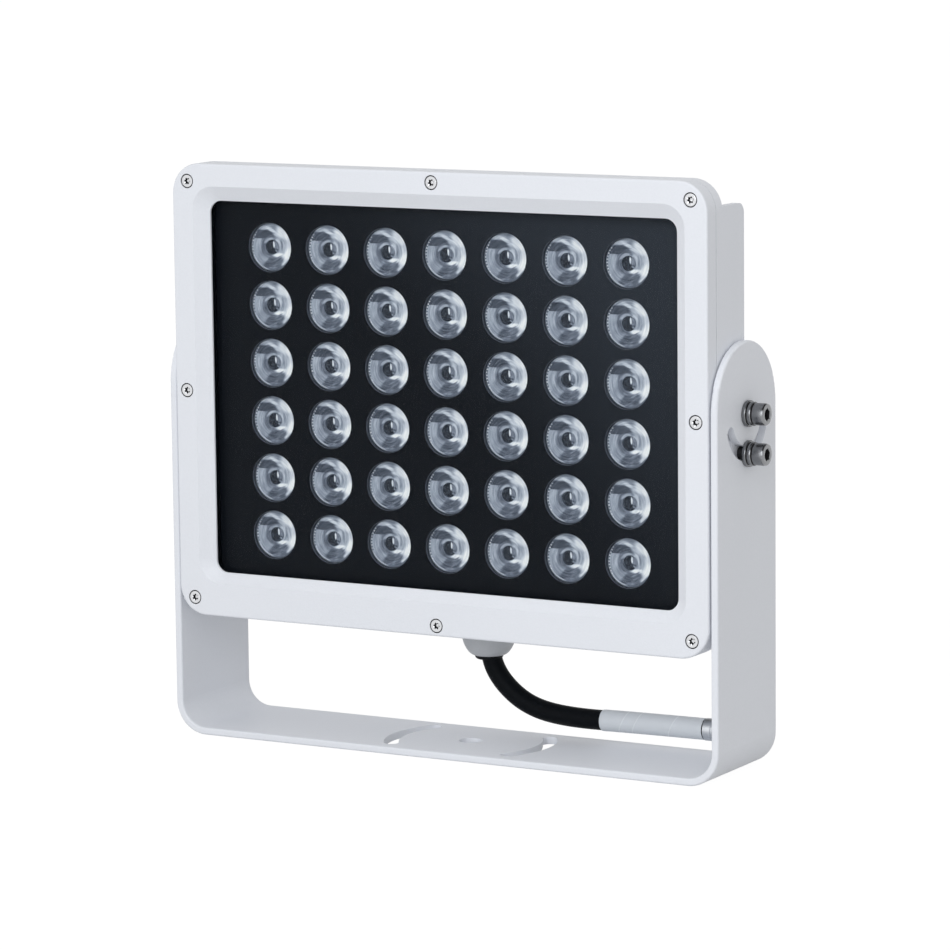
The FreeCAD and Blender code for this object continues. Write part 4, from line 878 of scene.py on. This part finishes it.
def make_light():
    world = bpy.data.worlds.new("studio")
    bpy.context.scene.world = world
    world.use_nodes = True
    tree = world.node_tree
    tree.nodes.clear()
    seen = seen_sharply(tree)
    height = add(tree, "SeparateXYZ", {0: add(tree, "TexCoord").outputs["Generated"]}).outputs["Z"]
    above = add(tree, "MapRange", {0: height, 1: CEILING_STARTS, 2: CEILING_FULL, 3: 1.0, 4: CEILING},
                interpolation_type="SMOOTHSTEP").outputs[0]
    bright = calc(tree, "MULTIPLY", above, BACKGROUND)
    soft = calc(tree, "MULTIPLY_ADD", height, AMBIENT_RISE, AMBIENT)
    strength = add(tree, "MapRange", {0: seen, 3: soft, 4: bright}).outputs[0]
    light = add(tree, "Background", {"Color": (1, 1, 1, 1), "Strength": strength}).outputs[0]
    add(tree, "OutputWorld", {"Surface": light})
    lamp = bpy.data.lights.new("key", "AREA")
    lamp.shape = "SQUARE"
    lamp.size = KEY_SIDE
    lamp.energy = KEY_WATTS
    lamp.color = KEY_COLOUR
    key = bpy.data.objects.new("key", lamp)
    bpy.context.scene.collection.objects.link(key)
    key.location = KEY_PLACE
    target = Vector(CAMERA_TARGET) * MM
    key.rotation_euler = (Vector(KEY_PLACE) - target).to_track_quat("Z", "Y").to_euler()


def make_camera():
    azimuth, elevation, roll = [math.radians(a) for a in (CAMERA_AZIMUTH, CAMERA_ELEVATION, CAMERA_ROLL)]
    back = Vector((math.sin(azimuth) * math.cos(elevation), -math.cos(azimuth) * math.cos(elevation),
                   math.sin(elevation)))
    level = Vector((math.cos(azimuth), math.sin(azimuth), 0))
    upward = back.cross(level)
    right = level * math.cos(roll) + upward * math.sin(roll)
    up = upward * math.cos(roll) - level * math.sin(roll)
    data = bpy.data.cameras.new("camera")
    data.lens = CAMERA_LENS
    data.sensor_width = CAMERA_SENSOR
    camera = bpy.data.objects.new("camera", data)
    bpy.context.scene.collection.objects.link(camera)
    turn = Matrix((right, up, back)).transposed().to_4x4()
    middle = Vector(CAMERA_TARGET) + back * CAMERA_DISTANCE
    camera.matrix_world = Matrix.Translation(middle * MM) @ turn
    bpy.context.scene.camera = camera


def make_object():
    dress(powder_coat("bracket_coat"), "mounting_bracket")
    dress(powder_coat("housing_coat"), "front_bezel", "rear_housing", "driver_cover")
    dress(window_glass(), "front_window")
    dress(black_panel(), "lens_panel")
    rubber = moulded("black_rubber", RUBBER, 0.55, Specular_IOR_Level=0.1)
    dress(rubber, "window_gasket", "housing_seal", "cover_seal", "lead_grommet")
    plastic = moulded("gland_plastic", GLAND, 0.55, spread=0.05)
    dress(plastic, "gland_body")
    make_gland(plastic, rubber)
    dress(moulded("board", LIGHT_BOARD, 0.4), "led_board")
    dress(moulded("driver_board", DRIVER_BOARD, 0.4), "driver_board")
    dress(moulded("board_parts", BOARD_PARTS, 0.5), "driver_transformer", "driver_choke", "terminal_block")
    dress(moulded("capacitor_can", CAPACITOR_CAN, 0.35), "driver_capacitors")
    dress(moulded("wire_jacket", WIRE_JACKET, 0.4), "cable_cores", "led_lead")
    sources = ["led_row_%d" % (row + 1) for row in range(LENS_ROWS)]
    dress(moulded("light_source", LIGHT_SOURCE, 0.3), *sources)
    dress(steel("plain_steel", PLAIN_STEEL, 0.3), "board_screws", "driver_screws")
    # Painted shade for the drives, sockets and edges of screws, bolts and washers
    painted_shade = moulded("painted_shade_steel", PAINTED_SHADE_STEEL, 0.4, Specular_IOR_Level=0.3)
    # Steel made pale for the screws as painted reflection and dark for the bolts and washers as painted shade
    make_small_screws(steel("screw_steel", SCREW_STEEL_PAINTED_REFLECTION, 0.24), painted_shade)
    make_clamps(steel("bolt_steel", BOLT_STEEL_PAINTED_SHADE, 0.22), painted_shade)
    make_lenses(lens_face())
    jacket = moulded("cable_jacket", JACKET, 0.55, Specular_IOR_Level=0.06,
                     Sheen_Weight=0.09, Sheen_Roughness=0.35)
    shell = steel("connector_shell", SHELL, 0.38, (0.05, 1, 1))
    make_cable(jacket, sleeve_film(), shell)


make_object()
make_stage()
make_light()
make_camera()
bpy.context.scene.view_settings.view_transform = "Standard"
